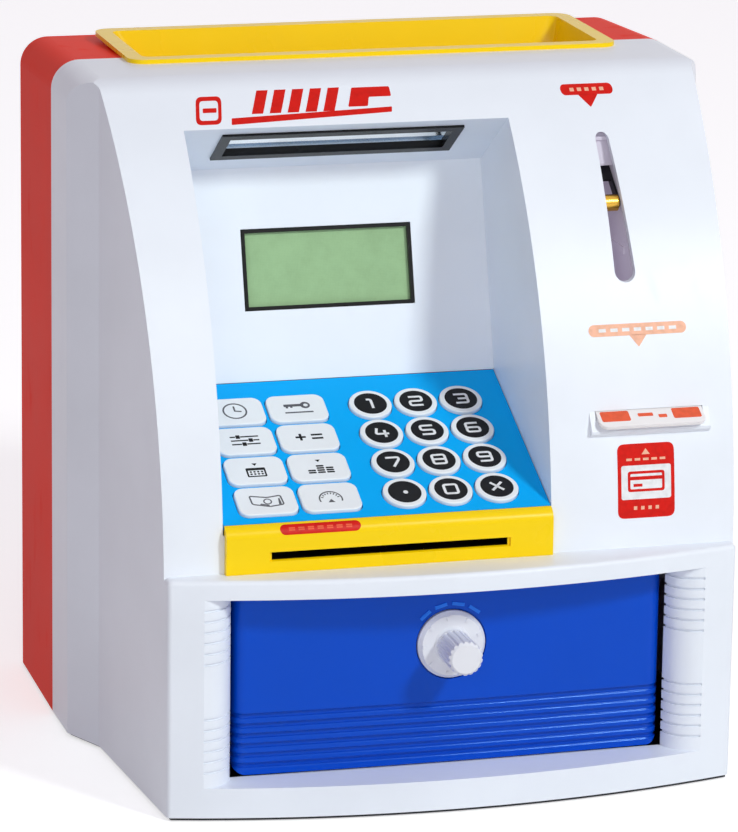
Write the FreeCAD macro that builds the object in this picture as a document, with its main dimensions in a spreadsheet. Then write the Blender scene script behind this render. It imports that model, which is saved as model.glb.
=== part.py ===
import FreeCAD, Part
import math
import os

import Sketcher

# A toy cash machine that saves coins and notes.  Every piece is drawn from a datum at the
# middle of the front: x to the right, y back from the base's front corners, z up from the
# table.  The last placement of each piece moves the datum to the middle of the footprint.

Vector = FreeCAD.Vector

SIZES = {
    # casing
    "floor_gap": 1.3,            # table to the underside of the casing
    "wall": 2.2,                 # moulded wall
    "base_width": 200.0,         # front corners of the base
    "neck_width": "=base_width + 12",         # front section where it meets the step
    "band_width": "=neck_width + 15.6",         # full-width band behind the step
    "neck_depth": 78.8,
    "band_depth": "=neck_depth + 17",
    "parting_depth": 121.2,      # joint between the front and rear shells
    "body_depth": 185.9,
    "rear_inset": 1.0,           # draft of each rear side
    "rear_drop": 2.4,            # fall of the rear roof
    "rear_corner": 7.0,
    "front_bulge": 13.0,         # bow of the base's front
    "base_height": 84.4,
    "body_height": 238.2,
    "face_foot": 4.4,            # foot and crest of the curved face
    "face_crest": 80.9,
    "face_radius": "=(body_height - base_height) * 1.32",
    "crest_round": 16.0,
    "roof_corner": 10.0,
    "edge_round": 1.6,
    "lip_back": 9.7,             # back of the frame around the drawer
    # drawer opening
    "bay_half": "=base_width / 2 - 23.4",
    "bay_sill": 11.8,
    "bay_top": "=base_height - 6.6",
    "bay_round": 11.5,
    "rib_pitch": 3.74,
    "rib_upper": "=bay_top - 3.9",
    "rib_lower": "=rib_upper - 38",
    "rib_high": 0.9,
    "rib_deep": 0.7,
    # alcove
    "alcove_left": "=base_width * 0.4",
    "alcove_right": "=base_width * 0.174",
    "alcove_lip_y": "=face_crest - 16.7",
    "alcove_lip_z": "=body_height - 14.9",
    "screen_top_y": "=face_crest + 15.2",
    "screen_top_z": "=body_height - 35.6",
    "screen_foot_y": 75.1,
    "screen_foot_z": "=base_height + 47",
    "keypad_front_y": 5.1,
    "keypad_tilt": 23.6,
    "fit_gap": 0.3,              # clearance between fixed mouldings
    "slide_gap": 0.6,            # clearance around sliding pieces
    "shaft_gap": 0.05,           # running clearance on a radius
    # keypad
    "plate_thick": 2.0,
    "row_first": 10.7,
    "row_pitch": 16.2,
    "number_first": "=base_width * -0.0725",
    "number_pitch": "=base_width * 0.0815",
    "number_radius": "=min(row_pitch; number_pitch) * 0.463",
    "function_first": "=base_width * -0.314",
    "function_pitch": "=base_width * 0.11075",
    "function_wide": "=function_pitch - 1.55",
    "function_high": 14.4,
    "function_round": 3.6,
    "key_rise": 1.2,
    "key_travel": 1.0,
    "key_gap": 0.28,
    "lug_thick": 0.9,
    "plunger_radius": 2.2,
    "membrane_thick": 1.0,
    "board_thick": 1.6,
    "board_front": 5.6,
    # note slot
    "bezel_front": 1.7,
    "bezel_shoulder": "=base_height + 13",
    "slot_left": "=alcove_left - 15.3",
    "slot_right": "=alcove_right - 15.3",
    "slot_foot": "=base_height + 3.5",
    "slot_high": 4.4,
    "guide_thick": 1.2,
    "tongue_back": 11.0,         # how far the bezel's tongue reaches
    "tab_y": 17.0,               # screws that hold the feed chassis
    "ledge_back": 24.0,
    # note feed
    "feed_y": 36.0,
    "nip_gap": 0.3,
    "tyre_radius": 4.5,
    "tyre_wide": 10.0,
    "tyre_spread": 40.0,
    "shaft_radius": 1.5,
    "press_radius": 4.0,
    "chassis_left": "=alcove_left - 9",
    "chassis_right": "=alcove_right - 8.8",
    "chassis_thick": 2.0,
    "chassis_foot": "=base_height - 4.4",
    "chassis_top": "=base_height + 16.6",
    "chassis_step": "=base_height + 8.6",
    "motor_radius": 8.0,
    "motor_long": 34.0,
    "motor_case_front": "=feed_y - 11.5",
    # screen and lamp
    "screen_left": "=base_width * 0.2665",
    "screen_right": "=base_width * 0.037",
    "screen_low": "=(screen_top_z - screen_foot_z) / 2 - 10.8",
    "screen_high": "=screen_low + 27.9",
    "frame_wide": 1.1,
    "lamp_left": "=base_width * 0.327",
    "lamp_right": "=base_width * 0.1015",
    "lamp_low": 11.1,
    "lamp_high": 32.9,
    "lamp_frame": 3.4,
    "lamp_deep": 9.0,
    "tube_radius": 1.6,
    # coin way
    "coin_x": "=base_width * 0.333",
    "coin_top": "=body_height - 20.1",
    "coin_foot": "=body_height - 66.1",
    "coin_top_half": 2.4,
    "coin_foot_half": 3.7,
    "chute_half": 3.9,
    "chute_wall": 1.7,
    "chute_back": "=face_crest - 0.9",
    "chute_top": "=body_height - 24.2",
    "chute_foot": "=base_height + 1.6",
    "chute_front": 50.0,
    "lever_y": "=face_crest - 16.9",
    "lever_z": "=body_height - (body_height - base_height) * 30.2 / 153.8",
    "barrel_y": "=face_crest - 33.9",
    "barrel_z": "=body_height - (body_height - base_height) * 42.6 / 153.8",
    "barrel_radius": 2.9,
    "lever_pin_radius": 1.5,
    "lever_thick": 0.8,
    "lever_wide": 3.0,
    "stop_z": "=coin_foot + 6.5",   # rib on the chute's wall
    "bridge_z": "=coin_top - 3.2",  # bar across the chute
    # card
    "card_x": "=base_width * 0.353",
    "card_wide": "=base_width * 0.19",
    "card_long": 46.0,
    "card_thick": 1.2,
    "card_out": 7.3,
    "card_tilt": 28.0,
    "card_mouth_y": 11.0,
    "card_mouth_z": "=base_height + 46",
    "mouth_wide": "=card_wide + 4.6",
    "mouth_foot": "=card_mouth_z - 8",
    # drawer
    "drawer_face": 6.0,
    "drawer_bow": 1.4,
    "drawer_half": "=bay_half - slide_gap",
    "drawer_foot": "=bay_sill + 0.6",
    "drawer_front_top": "=bay_top - 1.1",
    "drawer_box_top": "=drawer_front_top - 8.7",
    "drawer_back": 131.0,
    "drawer_wall": 2.0,
    "drawer_round": 5.0,
    "drawer_corner": 4.6,        # lower edges of the box
    "drawer_travel": 100.0,
    "groove_first": 33.1,
    "groove_pitch": 3.5,
    "groove_high": 1.3,
    "groove_deep": 0.6,
    # dial and latch
    "dial_z": "=drawer_foot + 42",
    "dial_radius": 11.9,
    "dial_thick": 3.0,
    "grip_radius": 6.0,
    "grip_long": 16.5,
    "flute_radius": 0.6,
    "dial_shaft": 3.0,
    "cam_reach": 26.0,
    "cam_thick": 2.0,
    "cam_gap": 0.4,
    # top tray
    "tray_half": "=band_width / 2 - 25.2",
    "tray_front": "=parting_depth - 13.4",
    "tray_back": "=body_depth - 16",
    "tray_rim": 5.6,
    "tray_rim_thick": 1.5,
    "tray_deep": 24.0,
    "tray_draft": 12.0,
    "tray_wall": 1.6,
    "tray_corner": 6.0,
    # base plate
    "plate_inset": 1.2,
    "base_thick": 2.4,
    "plate_edge": 0.8,           # visible edge of the base plate
    "runner_half": "=base_width * 0.3",
    "runner_thick": 3.0,
    "foot_radius": 6.0,
    "foot_inset": 16.0,
    # power and sound
    "cell_radius": 7.1,
    "cell_long": 50.0,
    "cell_pitch": 14.7,
    "speaker_radius": 22.0,
    "speaker_x": "=base_width * -0.29",
    "speaker_z": 150.0,
    # fasteners
    "boss_radius": 4.2,
    "boss_long": 16.0,           # joining bosses in the front shell
    "well_floor": 9.0,           # thickness under a joining screw's head
    "base_boss_high": 12.0,
    "foot_front": 22.0,          # rubber feet, from the front and from the back
    "foot_back": 20.9,
    "spot_front": 45.0,          # base screws, from the front and from the back
    "spot_back": 19.9,
    "screw_radius": 1.4,
    "screw_head": 2.7,
}


class Size:
    """A number together with the sheet expression that gives it."""

    def __init__(self, value, text):
        self.value = float(value)
        self.text = text

    @staticmethod
    def of(thing):
        if isinstance(thing, Size):
            return thing
        return Size(thing, "(%r)" % float(thing))

    def combine(self, other, sign, value):
        return Size(value, "(%s %s %s)" % (self.text, sign, other.text))

    def __add__(self, other):
        other = Size.of(other)
        return self.combine(other, "+", self.value + other.value)

    def __radd__(self, other):
        return Size.of(other) + self

    def __sub__(self, other):
        other = Size.of(other)
        return self.combine(other, "-", self.value - other.value)

    def __rsub__(self, other):
        return Size.of(other) - self

    def __mul__(self, other):
        other = Size.of(other)
        return self.combine(other, "*", self.value * other.value)

    def __rmul__(self, other):
        return Size.of(other) * self

    def __truediv__(self, other):
        other = Size.of(other)
        return self.combine(other, "/", self.value / other.value)

    def __neg__(self):
        return Size(-self.value, "(-%s)" % self.text)


def cosine(angle):
    angle = Size.of(angle)
    return Size(math.cos(math.radians(angle.value)), "cos(%s)" % angle.text)


def sine(angle):
    angle = Size.of(angle)
    return Size(math.sin(math.radians(angle.value)), "sin(%s)" % angle.text)


def root(number):
    number = Size.of(number)
    return Size(math.sqrt(number.value), "sqrt(%s)" % number.text)


def slope_angle(rise, run):
    """Angle in degrees of a slope, as a plain number for an angle property."""
    rise, run = Size.of(rise), Size.of(run)
    value = math.degrees(math.atan2(rise.value, run.value))
    return Size(value, "(atan2(%s; %s) / 1deg)" % (rise.text, run.text))


doc = FreeCAD.newDocument("toy_cash_machine")
sheet = doc.addObject("Spreadsheet::Sheet", "sizes")
for row, (alias, entry) in enumerate(SIZES.items(), start=1):
    sheet.set("A%d" % row, alias)
    sheet.set("B%d" % row, str(entry))
    sheet.setAlias("B%d" % row, alias)
doc.recompute()


class Names:
    """The sheet's values as attributes, so that d.wall reads like the sheet's alias."""

    def __init__(self, aliases):
        for alias in aliases:
            setattr(self, alias, Size(sheet.get(alias), "sizes." + alias))


d = Names(SIZES)

# ---------------------------------------------------------------- shared derived sizes

dial_end = d.drawer_face - d.fit_gap - d.dial_thick - d.grip_long
middle_y = (d.body_depth + dial_end) / 2
keypad_long = (d.screen_foot_y - d.keypad_front_y) / cosine(d.keypad_tilt)
keypad_front_z = d.screen_foot_z - keypad_long * sine(d.keypad_tilt)
screen_tilt = slope_angle(d.screen_top_z - d.screen_foot_z, d.screen_top_y - d.screen_foot_y)
lamp_tilt = slope_angle(d.alcove_lip_z - d.screen_top_z, d.alcove_lip_y - d.screen_top_y)
lug_drop = d.plate_thick + d.lug_thick
membrane_top = lug_drop + d.key_travel + d.fit_gap
board_top = membrane_top + d.membrane_thick + d.key_travel + d.fit_gap
note_z = d.slot_foot + d.slot_high / 2
nip_half = d.nip_gap / 2
drive_z = note_z + nip_half + d.tyre_radius
press_z = note_z - nip_half - d.press_radius

PARTS = []


# ---------------------------------------------------------------- document helpers

def bind(thing, path, size):
    if isinstance(size, Size):
        thing.setExpression(path, size.text)


def number_of(size):
    return Size.of(size).value


def at(thing, x=0, y=0, z=0, axis=Vector(1, 0, 0), angle=0):
    """Place an object, with each coordinate and the angle bound to the sheet."""
    spot = Vector(number_of(x), number_of(y), number_of(z))
    thing.Placement = FreeCAD.Placement(spot, FreeCAD.Rotation(axis, number_of(angle)))
    bind(thing, "Placement.Base.x", x)
    bind(thing, "Placement.Base.y", y)
    bind(thing, "Placement.Base.z", z)
    bind(thing, "Placement.Rotation.Angle", angle)
    return thing


def finish(thing, label, x=0, y=0, z=0, axis=Vector(1, 0, 0), angle=0):
    """Name a finished piece and move it from the datum to the shared origin."""
    at(thing, x, Size.of(y) - middle_y, z, axis, angle)
    thing.Label = label
    PARTS.append(thing)
    return thing


def origin_item(body, role):
    return [item for item in body.Origin.OriginFeatures if item.Role == role][0]


FREE_TURNS = {
    "XY": FreeCAD.Rotation(),
    "XZ": FreeCAD.Rotation(Vector(1, 0, 0), 90),
    "YZ": FreeCAD.Rotation(Vector(1, 1, 1), 120),
}


def new_sketch(host, plane, height):
    """A sketch in a body, or a free one when host is None, raised along its normal."""
    lift = FreeCAD.Placement(Vector(0, 0, number_of(height)), FreeCAD.Rotation())
    if host is None:
        sketch = doc.addObject("Sketcher::SketchObject", "outline")
        turn = FREE_TURNS[plane]
        normal = turn.multVec(Vector(0, 0, 1))
        sketch.Placement = FreeCAD.Placement(normal * number_of(height), turn)
        if isinstance(height, Size):
            for letter, share in zip("xyz", normal):
                if abs(share) > 0.5:
                    bind(sketch, "Placement.Base." + letter, height * round(share))
        return sketch
    sketch = host.newObject("Sketcher::SketchObject", "outline")
    sketch.AttachmentSupport = (origin_item(host, plane + "_Plane"), [""])
    sketch.MapMode = "FlatFace"
    sketch.AttachmentOffset = lift
    bind(sketch, "AttachmentOffset.Base.z", height)
    return sketch


def pin_point(sketch, item, end, x, y):
    """Hold one sketch point at x, y from the sketch's origin."""
    for kind, size in (("DistanceX", x), ("DistanceY", y)):
        rule = Sketcher.Constraint(kind, -1, 1, item, end, number_of(size))
        index = sketch.addConstraint(rule)
        bind(sketch, "Constraints[%d]" % index, size)


def arc_between(start, end, radius):
    """Arc under half a turn: a positive radius turns left on the way, a negative one right."""
    chord = end - start
    half = chord.Length / 2
    size = max(abs(radius), half)
    reach = math.sqrt(max(size * size - half * half, 0.0))
    left = Vector(-chord.y, chord.x, 0).normalize()
    centre = (start + end) * 0.5 + left * (reach if radius > 0 else -reach)
    first, last = (start, end) if radius > 0 else (end, start)
    angles = [math.atan2(point.y - centre.y, point.x - centre.x) for point in (first, last)]
    circle = Part.Circle(centre, Vector(0, 0, 1), size)
    return Part.ArcOfCircle(circle, angles[0], angles[1])


def draw_outline(sketch, points):
    """Close an outline of (x, y) or (x, y, radius) points; radius bends the edge that follows."""
    spots = [Vector(number_of(point[0]), number_of(point[1]), 0) for point in points]
    count = len(points)
    first_item = len(sketch.Geometry)
    ends = []
    for index, point in enumerate(points):
        start, end = spots[index], spots[(index + 1) % count]
        radius = number_of(point[2]) if len(point) > 2 else 0
        if radius:
            item = sketch.addGeometry(arc_between(start, end, radius), False)
            ends.append((item, 1, 2) if radius > 0 else (item, 2, 1))
        else:
            item = sketch.addGeometry(Part.LineSegment(start, end), False)
            ends.append((item, 1, 2))
    for index in range(count):
        here, following = ends[index], ends[(index + 1) % count]
        sketch.addConstraint(
            Sketcher.Constraint("Coincident", here[0], here[2], following[0], following[1]))
    for index, point in enumerate(points):
        pin_point(sketch, ends[index][0], ends[index][1], point[0], point[1])
        if len(point) > 2:
            size = Size.of(point[2])
            size = size if size.value > 0 else -size
            rule = sketch.addConstraint(
                Sketcher.Constraint("Radius", first_item + index, size.value))
            bind(sketch, "Constraints[%d]" % rule, size)
    return sketch


def draw_circle(sketch, x, y, radius):
    circle = Part.Circle(Vector(number_of(x), number_of(y), 0), Vector(0, 0, 1),
                         number_of(radius))
    item = sketch.addGeometry(circle, False)
    pin_point(sketch, item, 3, x, y)
    rule = sketch.addConstraint(Sketcher.Constraint("Radius", item, number_of(radius)))
    bind(sketch, "Constraints[%d]" % rule, radius)
    return sketch


def rectangle(left, low, right, high):
    return [(left, low), (right, low), (right, high), (left, high)]


def round_rectangle(left, low, right, high, corner):
    """Counter-clockwise rectangle with four equal round corners."""
    left, low, right, high = [Size.of(item) for item in (left, low, right, high)]
    return [
        (left + corner, low), (right - corner, low, corner),
        (right, low + corner), (right, high - corner, corner),
        (right - corner, high), (left + corner, high, corner),
        (left, high - corner), (left, low + corner, corner),
    ]


def outline(host, plane, points, height=0):
    return draw_outline(new_sketch(host, plane, height), points)


def ring(host, plane, x, y, radius, height=0):
    return draw_circle(new_sketch(host, plane, height), x, y, radius)


def new_body(name):
    return doc.addObject("PartDesign::Body", name)


def pad(body, sketch, length, symmetric=False, down=False, taper=0):
    feature = body.newObject("PartDesign::Pad", "pad")
    feature.Profile = sketch
    feature.SideType = "Symmetric" if symmetric else "One side"
    feature.Reversed = down
    feature.TaperAngle = number_of(taper)
    bind(feature, "TaperAngle", taper)
    feature.Length = number_of(length)
    bind(feature, "Length", length)
    return feature


def pocket(body, sketch, length, symmetric=False, up=False, taper=0):
    """Cut down from the sketch, or up along its normal."""
    feature = body.newObject("PartDesign::Pocket", "pocket")
    feature.Profile = sketch
    feature.SideType = "Symmetric" if symmetric else "One side"
    feature.Reversed = up
    feature.TaperAngle = number_of(taper)
    bind(feature, "TaperAngle", taper)
    feature.Length = number_of(length)
    bind(feature, "Length", length)
    return feature


def revolve(body, points):
    """Turn an outline of (radius, height) points about the body's z axis."""
    feature = body.newObject("PartDesign::Revolution", "turned")
    sketch = outline(body, "XZ", points)
    feature.Profile = sketch
    feature.ReferenceAxis = (sketch, ["V_Axis"])
    feature.Angle = 360
    return feature


def polar(body, feature, count):
    pattern = body.newObject("PartDesign::PolarPattern", "polar")
    pattern.Originals = [feature]
    pattern.Axis = (origin_item(body, "Z_Axis"), [""])
    pattern.Angle = 360
    pattern.Occurrences = count
    body.Tip = pattern
    return pattern


def row_of(body, feature, count, span):
    """Copies of a feature spread along the body's z axis."""
    pattern = body.newObject("PartDesign::LinearPattern", "row")
    pattern.Originals = [feature]
    pattern.Direction = (origin_item(body, "Z_Axis"), [""])
    pattern.Length = number_of(span)
    bind(pattern, "Length", span)
    pattern.Occurrences = count
    body.Tip = pattern
    return pattern


def extrude(sketch, forward, backward=0):
    solid = doc.addObject("Part::Extrusion", "extrusion")
    solid.Base = sketch
    solid.DirMode = "Normal"
    solid.Solid = True
    solid.LengthFwd = number_of(forward)
    solid.LengthRev = number_of(backward)
    bind(solid, "LengthFwd", forward)
    bind(solid, "LengthRev", backward)
    return solid


def block(left, front, low, right, back, high):
    """A box between two corners."""
    left, front, low, right, back, high = [
        Size.of(item) for item in (left, front, low, right, back, high)]
    solid = doc.addObject("Part::Box", "block")
    for path, size in (("Length", right - left), ("Width", back - front), ("Height", high - low)):
        setattr(solid, path, size.value)
        bind(solid, path, size)
    return at(solid, left, front, low)


def rod(radius, length, x=0, y=0, z=0, axis=Vector(1, 0, 0), angle=0):
    solid = doc.addObject("Part::Cylinder", "rod")
    solid.Radius = number_of(radius)
    solid.Height = number_of(length)
    bind(solid, "Radius", radius)
    bind(solid, "Height", length)
    return at(solid, x, y, z, axis, angle)


def cut(base, tools):
    solid = doc.addObject("Part::Cut", "cut")
    solid.Base = base
    solid.Tool = fuse(tools) if isinstance(tools, list) else tools
    return solid


def fuse(pieces):
    if len(pieces) == 1:
        return pieces[0]
    solid = doc.addObject("Part::MultiFuse", "fusion")
    solid.Shapes = pieces
    return solid


def common(pieces):
    solid = doc.addObject("Part::MultiCommon", "common")
    solid.Shapes = pieces
    return solid


def together(pieces):
    """Several separate solids kept as one piece list."""
    group = doc.addObject("Part::Compound", "group")
    group.Links = pieces
    return group


def edges_near(shape, test):
    """Numbers of the edges whose middle point and direction pass a test."""
    found = []
    for number, edge in enumerate(shape.Edges, start=1):
        middle = edge.valueAt((edge.FirstParameter + edge.LastParameter) / 2)
        if test(edge, middle):
            found.append(number)
    return found


def round_edges(solid, test, radius):
    doc.recompute()
    numbers = edges_near(solid.Shape, test)
    rounded = doc.addObject("Part::Fillet", "rounded")
    rounded.Base = solid
    rounded.Edges = [(number, number_of(radius), number_of(radius)) for number in numbers]
    return rounded


# ---------------------------------------------------------------- the two shells

rise = d.body_height - d.base_height
run = d.face_crest - d.face_foot
face_chord = root(rise * rise + run * run)
face_reach = root(d.face_radius * d.face_radius - face_chord * face_chord / 4)
face_centre_y = (d.face_foot + d.face_crest) / 2 + face_reach * rise / face_chord
face_centre_z = (d.base_height + d.body_height) / 2 - face_reach * run / face_chord
bulge_half = d.base_width / 2
bulge_radius = (bulge_half * bulge_half + d.front_bulge * d.front_bulge) / (2 * d.front_bulge)
bulge_centre = bulge_radius - d.front_bulge
FAR = 30
BASE_CORNER = 2.0
JAMB_RIBS = 6


def face_y(height, inset=0):
    """Depth of the curved face, or of a surface inset from it, at a height."""
    radius = d.face_radius - inset
    drop = Size.of(height) - face_centre_z
    return face_centre_y - root(radius * radius - drop * drop)


def bulge_y(x):
    """Depth of the base's bowed front at a distance from the middle."""
    return bulge_centre - root(bulge_radius * bulge_radius - Size.of(x) * x)


# Centre of the rounding between the curved face and the roof.
crest_z = d.body_height - d.crest_round
crest_lift = crest_z - face_centre_z
crest_reach = d.face_radius - d.crest_round
crest_y = face_centre_y - root(crest_reach * crest_reach - crest_lift * crest_lift)


def front_plan(inset, front=0):
    """Plan of the front shell from a front line to the parting."""
    points = [
        (d.base_width / 2 - inset, front),
        (d.neck_width / 2 - inset, d.neck_depth),
        (d.band_width / 2 - inset, d.band_depth),
    ]
    return points, [(-x, y) for x, y in reversed(points)]


def arch(half, top, corner, low, front, back):
    """A block along y whose two upper corners are round."""
    sketch = outline(None, "XZ", [
        (-half, low), (half, low), (half, top - corner, corner), (half - corner, top),
        (corner - half, top, corner), (-half, top - corner)])
    return extrude(sketch, -Size.of(front), back)


def front_form(inset, low, back):
    """The front shell's upper body, or its hollow when inset by the wall."""
    right, left = front_plan(inset)
    plan = outline(None, "XY", right + [(d.band_width / 2 - inset, back),
                                        (inset - d.band_width / 2, back)] + left)
    reach = (d.face_radius - inset) / (d.face_radius - d.crest_round)
    touch_y = face_centre_y - (face_centre_y - crest_y) * reach
    touch_z = face_centre_z + (crest_z - face_centre_z) * reach
    profile = outline(None, "YZ", [
        (face_y(d.base_height, inset), low), (back, low), (back, d.body_height - inset),
        (crest_y, d.body_height - inset, d.crest_round - inset),
        (touch_y, touch_z, d.face_radius - inset),
        (face_y(d.base_height, inset), d.base_height)])
    half = d.band_width / 2
    return common([
        extrude(plan, d.body_height + FAR),
        extrude(profile, half, half),
        arch(half - inset, d.body_height - inset, d.roof_corner - inset, low, 0, back),
    ])


def rear_form(inset, front, low):
    """The rear shell's outside, or its hollow when inset by the wall."""
    half = d.band_width / 2 - inset
    back = d.body_depth - inset
    corner = d.rear_corner - inset
    roof = d.body_height - inset
    reach = (back - front) / (back - corner - front)
    tail = half - d.rear_inset * reach
    eaves = roof - d.rear_drop * reach
    plan = outline(None, "XY", [(-half, front), (half, front), (tail, back), (-tail, back)])
    profile = outline(None, "YZ", [(front, low), (back, low), (back, eaves), (front, roof)])
    block_solid = common([extrude(plan, d.body_height + FAR), extrude(profile, half, half)])
    shoulder_x, shoulder_z = ((half + tail) / 2).value, ((roof + eaves) / 2).value

    def shoulder(_, middle):
        return abs(abs(middle.x) - shoulder_x) < 1e-3 and abs(middle.z - shoulder_z) < 1e-3

    def rear_rim(_, middle):
        return abs(middle.y - back.value) < 1e-3 and middle.z > Size.of(low).value + 1

    rounded = round_edges(block_solid, shoulder, d.roof_corner - inset)
    return round_edges(rounded, rear_rim, corner)


def raised(solid, height):
    """Lift a solid drawn on the ground plane."""
    return at(solid, 0, 0, height)


def tilted(form, origin_y, origin_z, angle, corner, far_corner):
    """A box between two corners (x, along, normal) of a plane tilted about x."""
    x, along, normal = [Size.of(item) for item in corner]
    far_x, far_along, far_normal = [Size.of(item) for item in far_corner]
    solid = doc.addObject("Part::Box", form)
    sides = (("Length", far_x - x), ("Width", far_along - along), ("Height", far_normal - normal))
    for path, size in sides:
        setattr(solid, path, size.value)
        bind(solid, path, size)
    y, z = tilted_point(origin_y, origin_z, angle, along, normal)
    return at(solid, x, y, z, Vector(1, 0, 0), angle)


def tilted_point(origin_y, origin_z, angle, along, normal):
    """Depth and height of a point given along a tilted plane and off it."""
    along, normal = Size.of(along), Size.of(normal)
    y = origin_y + along * cosine(angle) - normal * sine(angle)
    z = origin_z + along * sine(angle) + normal * cosine(angle)
    return y, z


def base_block():
    """Base with the bowed front, rounded on its upper and corner edges."""
    right, left = front_plan(0)
    corner_x, corner_y = d.base_width / 2, Size.of(0)
    points = [(-corner_x, corner_y, bulge_radius)] + right + [
        (d.band_width / 2, d.parting_depth), (-d.band_width / 2, d.parting_depth)] + left[:-1]
    block_solid = raised(extrude(outline(None, "XY", points), d.base_height - d.floor_gap),
                         d.floor_gap)

    def upright(_, middle):
        return abs(middle.y) < 1e-3 and abs(abs(middle.x) - bulge_half.value) < 1e-3

    corners = round_edges(block_solid, upright, BASE_CORNER)
    top = d.base_height.value

    def front_rim(_, middle):
        return abs(middle.z - top) < 1e-3 and middle.y < 3

    return round_edges(corners, front_rim, d.edge_round)


def flared_opening(growth, low, high):
    """Drawer opening with rounded jambs; growth widens it to cut grooves in the jambs."""
    radius = d.bay_round - growth
    mouth = d.bay_half + d.bay_round
    start = bulge_y(mouth) + growth
    neck = d.bay_half + growth
    back = d.lip_back + 1
    right = [(mouth, start, -radius), (neck, start + radius), (neck, back)]
    left = [(-neck, back), (-neck, start + radius, -radius), (-mouth, start)]
    front = [(-mouth, -FAR), (mouth, -FAR)]
    return raised(extrude(outline(None, "XY", front + right + left), high - low), low)


def alcove_walls():
    """Solid block that becomes the side walls, ceiling and screen wall of the alcove."""
    screen_y, screen_z = sine(screen_tilt), -cosine(screen_tilt)
    lamp_y, lamp_z = sine(lamp_tilt), -cosine(lamp_tilt)
    share = screen_y * lamp_z - screen_z * lamp_y
    back_y = d.screen_top_y + d.wall * (lamp_z - screen_z) / share
    back_z = d.screen_top_z + d.wall * (screen_y - lamp_y) / share
    lip_y, lip_z = tilted_point(d.alcove_lip_y, d.alcove_lip_z, lamp_tilt, d.wall * 3, -d.wall)
    foot_y = d.screen_foot_y + d.wall / screen_y
    low = d.base_height - d.wall
    points = [
        (d.face_foot, low), (foot_y, low), (foot_y, d.screen_foot_z), (back_y, back_z),
        (lip_y, lip_z), (d.face_foot - FAR, lip_z), (d.face_foot - FAR, d.base_height),
    ]
    return extrude(outline(None, "YZ", points), d.alcove_right + d.wall, d.alcove_left + d.wall)


def alcove_air():
    """Air of the alcove and the room below the keypad plate."""
    ledge = d.bezel_shoulder
    air = outline(None, "YZ", [
        (d.face_foot - FAR, ledge), (d.keypad_front_y, ledge),
        (d.keypad_front_y, keypad_front_z), (d.screen_foot_y, d.screen_foot_z),
        (d.screen_top_y, d.screen_top_z), (d.alcove_lip_y, d.alcove_lip_z),
        (d.face_foot - FAR, d.alcove_lip_z)])
    room_front = face_y(d.base_height, d.wall)
    room_back = d.screen_foot_y + d.wall / cosine(d.keypad_tilt) + 1
    low = d.base_height - d.wall - 1
    room = outline(None, "YZ", [
        (room_front, low), (room_back, low), (room_back, d.screen_foot_z),
        (d.screen_foot_y, d.screen_foot_z),
        (d.keypad_front_y, keypad_front_z), (d.keypad_front_y, ledge), (room_front, ledge)])
    return [extrude(air, d.alcove_right, d.alcove_left),
            extrude(room, d.alcove_right, d.alcove_left)]


# Screw bosses that both shells share: (x, height) of the joining screws.
JOIN_X = d.band_width / 2 - d.rear_corner - d.boss_radius - 0.6
JOIN_HEIGHTS = (d.bay_sill + 30.0, d.body_height - 40.0)
JOIN_FRONT = d.parting_depth - d.boss_long
WELL_END = d.parting_depth + d.well_floor
BOSS = d.boss_radius + 1.3
PILOT = d.screw_radius - 0.1
MOUTH_DEEP = 6.0
BASE_SPOTS = ((d.neck_width / 2 - 9.5, d.spot_front),
              (d.band_width / 2 - 6.5, d.body_depth - d.spot_back))


def along_y(radius, front, back, x, z):
    """A rod that runs back from a front depth."""
    return rod(radius, Size.of(back) - front, x, back, z, Vector(1, 0, 0), 90)


def tray_hole(margin):
    """The hole that both roofs leave for the tray's tub."""
    edge = d.tray_rim - d.tray_wall - margin
    half = d.tray_half - edge
    return block(-half, d.tray_front + edge, d.body_height - 12, half, d.tray_back - edge,
                 d.body_height + 12)


def slot_tool():
    """The coin slot through the cheek, closed at both ends by half rounds."""
    top, foot = d.coin_top - d.coin_top_half, d.coin_foot + d.coin_foot_half
    sides = outline(None, "XZ", [
        (d.coin_x - d.coin_foot_half, foot), (d.coin_x + d.coin_foot_half, foot),
        (d.coin_x + d.coin_top_half, top), (d.coin_x - d.coin_top_half, top)])
    return [extrude(sides, FAR, d.chute_back),
            along_y(d.coin_foot_half, -FAR, d.lever_y, d.coin_x, foot),
            along_y(d.coin_top_half, -FAR, d.lever_y, d.coin_x, top)]


def key_rails():
    """Ledges on the alcove's side walls that carry the keypad plate."""
    edges = ((-d.alcove_left - 0.5, 2.8 - d.alcove_left), (d.alcove_right - 2.8,
                                                           d.alcove_right + 0.5))
    return [tilted("rail", d.keypad_front_y, keypad_front_z, d.keypad_tilt,
                   (left, 5.0, -d.plate_thick - 2.0), (right, keypad_long - 1.0, -d.plate_thick))
            for left, right in edges]


def feed_ledges():
    """Shelves beside the note slot that the feed chassis is screwed to."""
    front = face_y(d.base_height, d.wall) - 0.5
    low, top = d.base_height - d.wall, d.base_height
    return [block(-d.alcove_left - 0.5, front, low, -d.chassis_left - d.fit_gap, d.ledge_back, top),
            block(d.chassis_right + d.chassis_thick + d.fit_gap, front, low,
                  d.alcove_right + 0.5, d.ledge_back, top)]


def window(origin_y, origin_z, angle, left, low, right, high):
    """A hole through a tilted wall of the alcove."""
    return tilted("window", origin_y, origin_z, angle, (-left, low, -d.wall - 4.0),
                  (right, high, 4.0))


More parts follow.
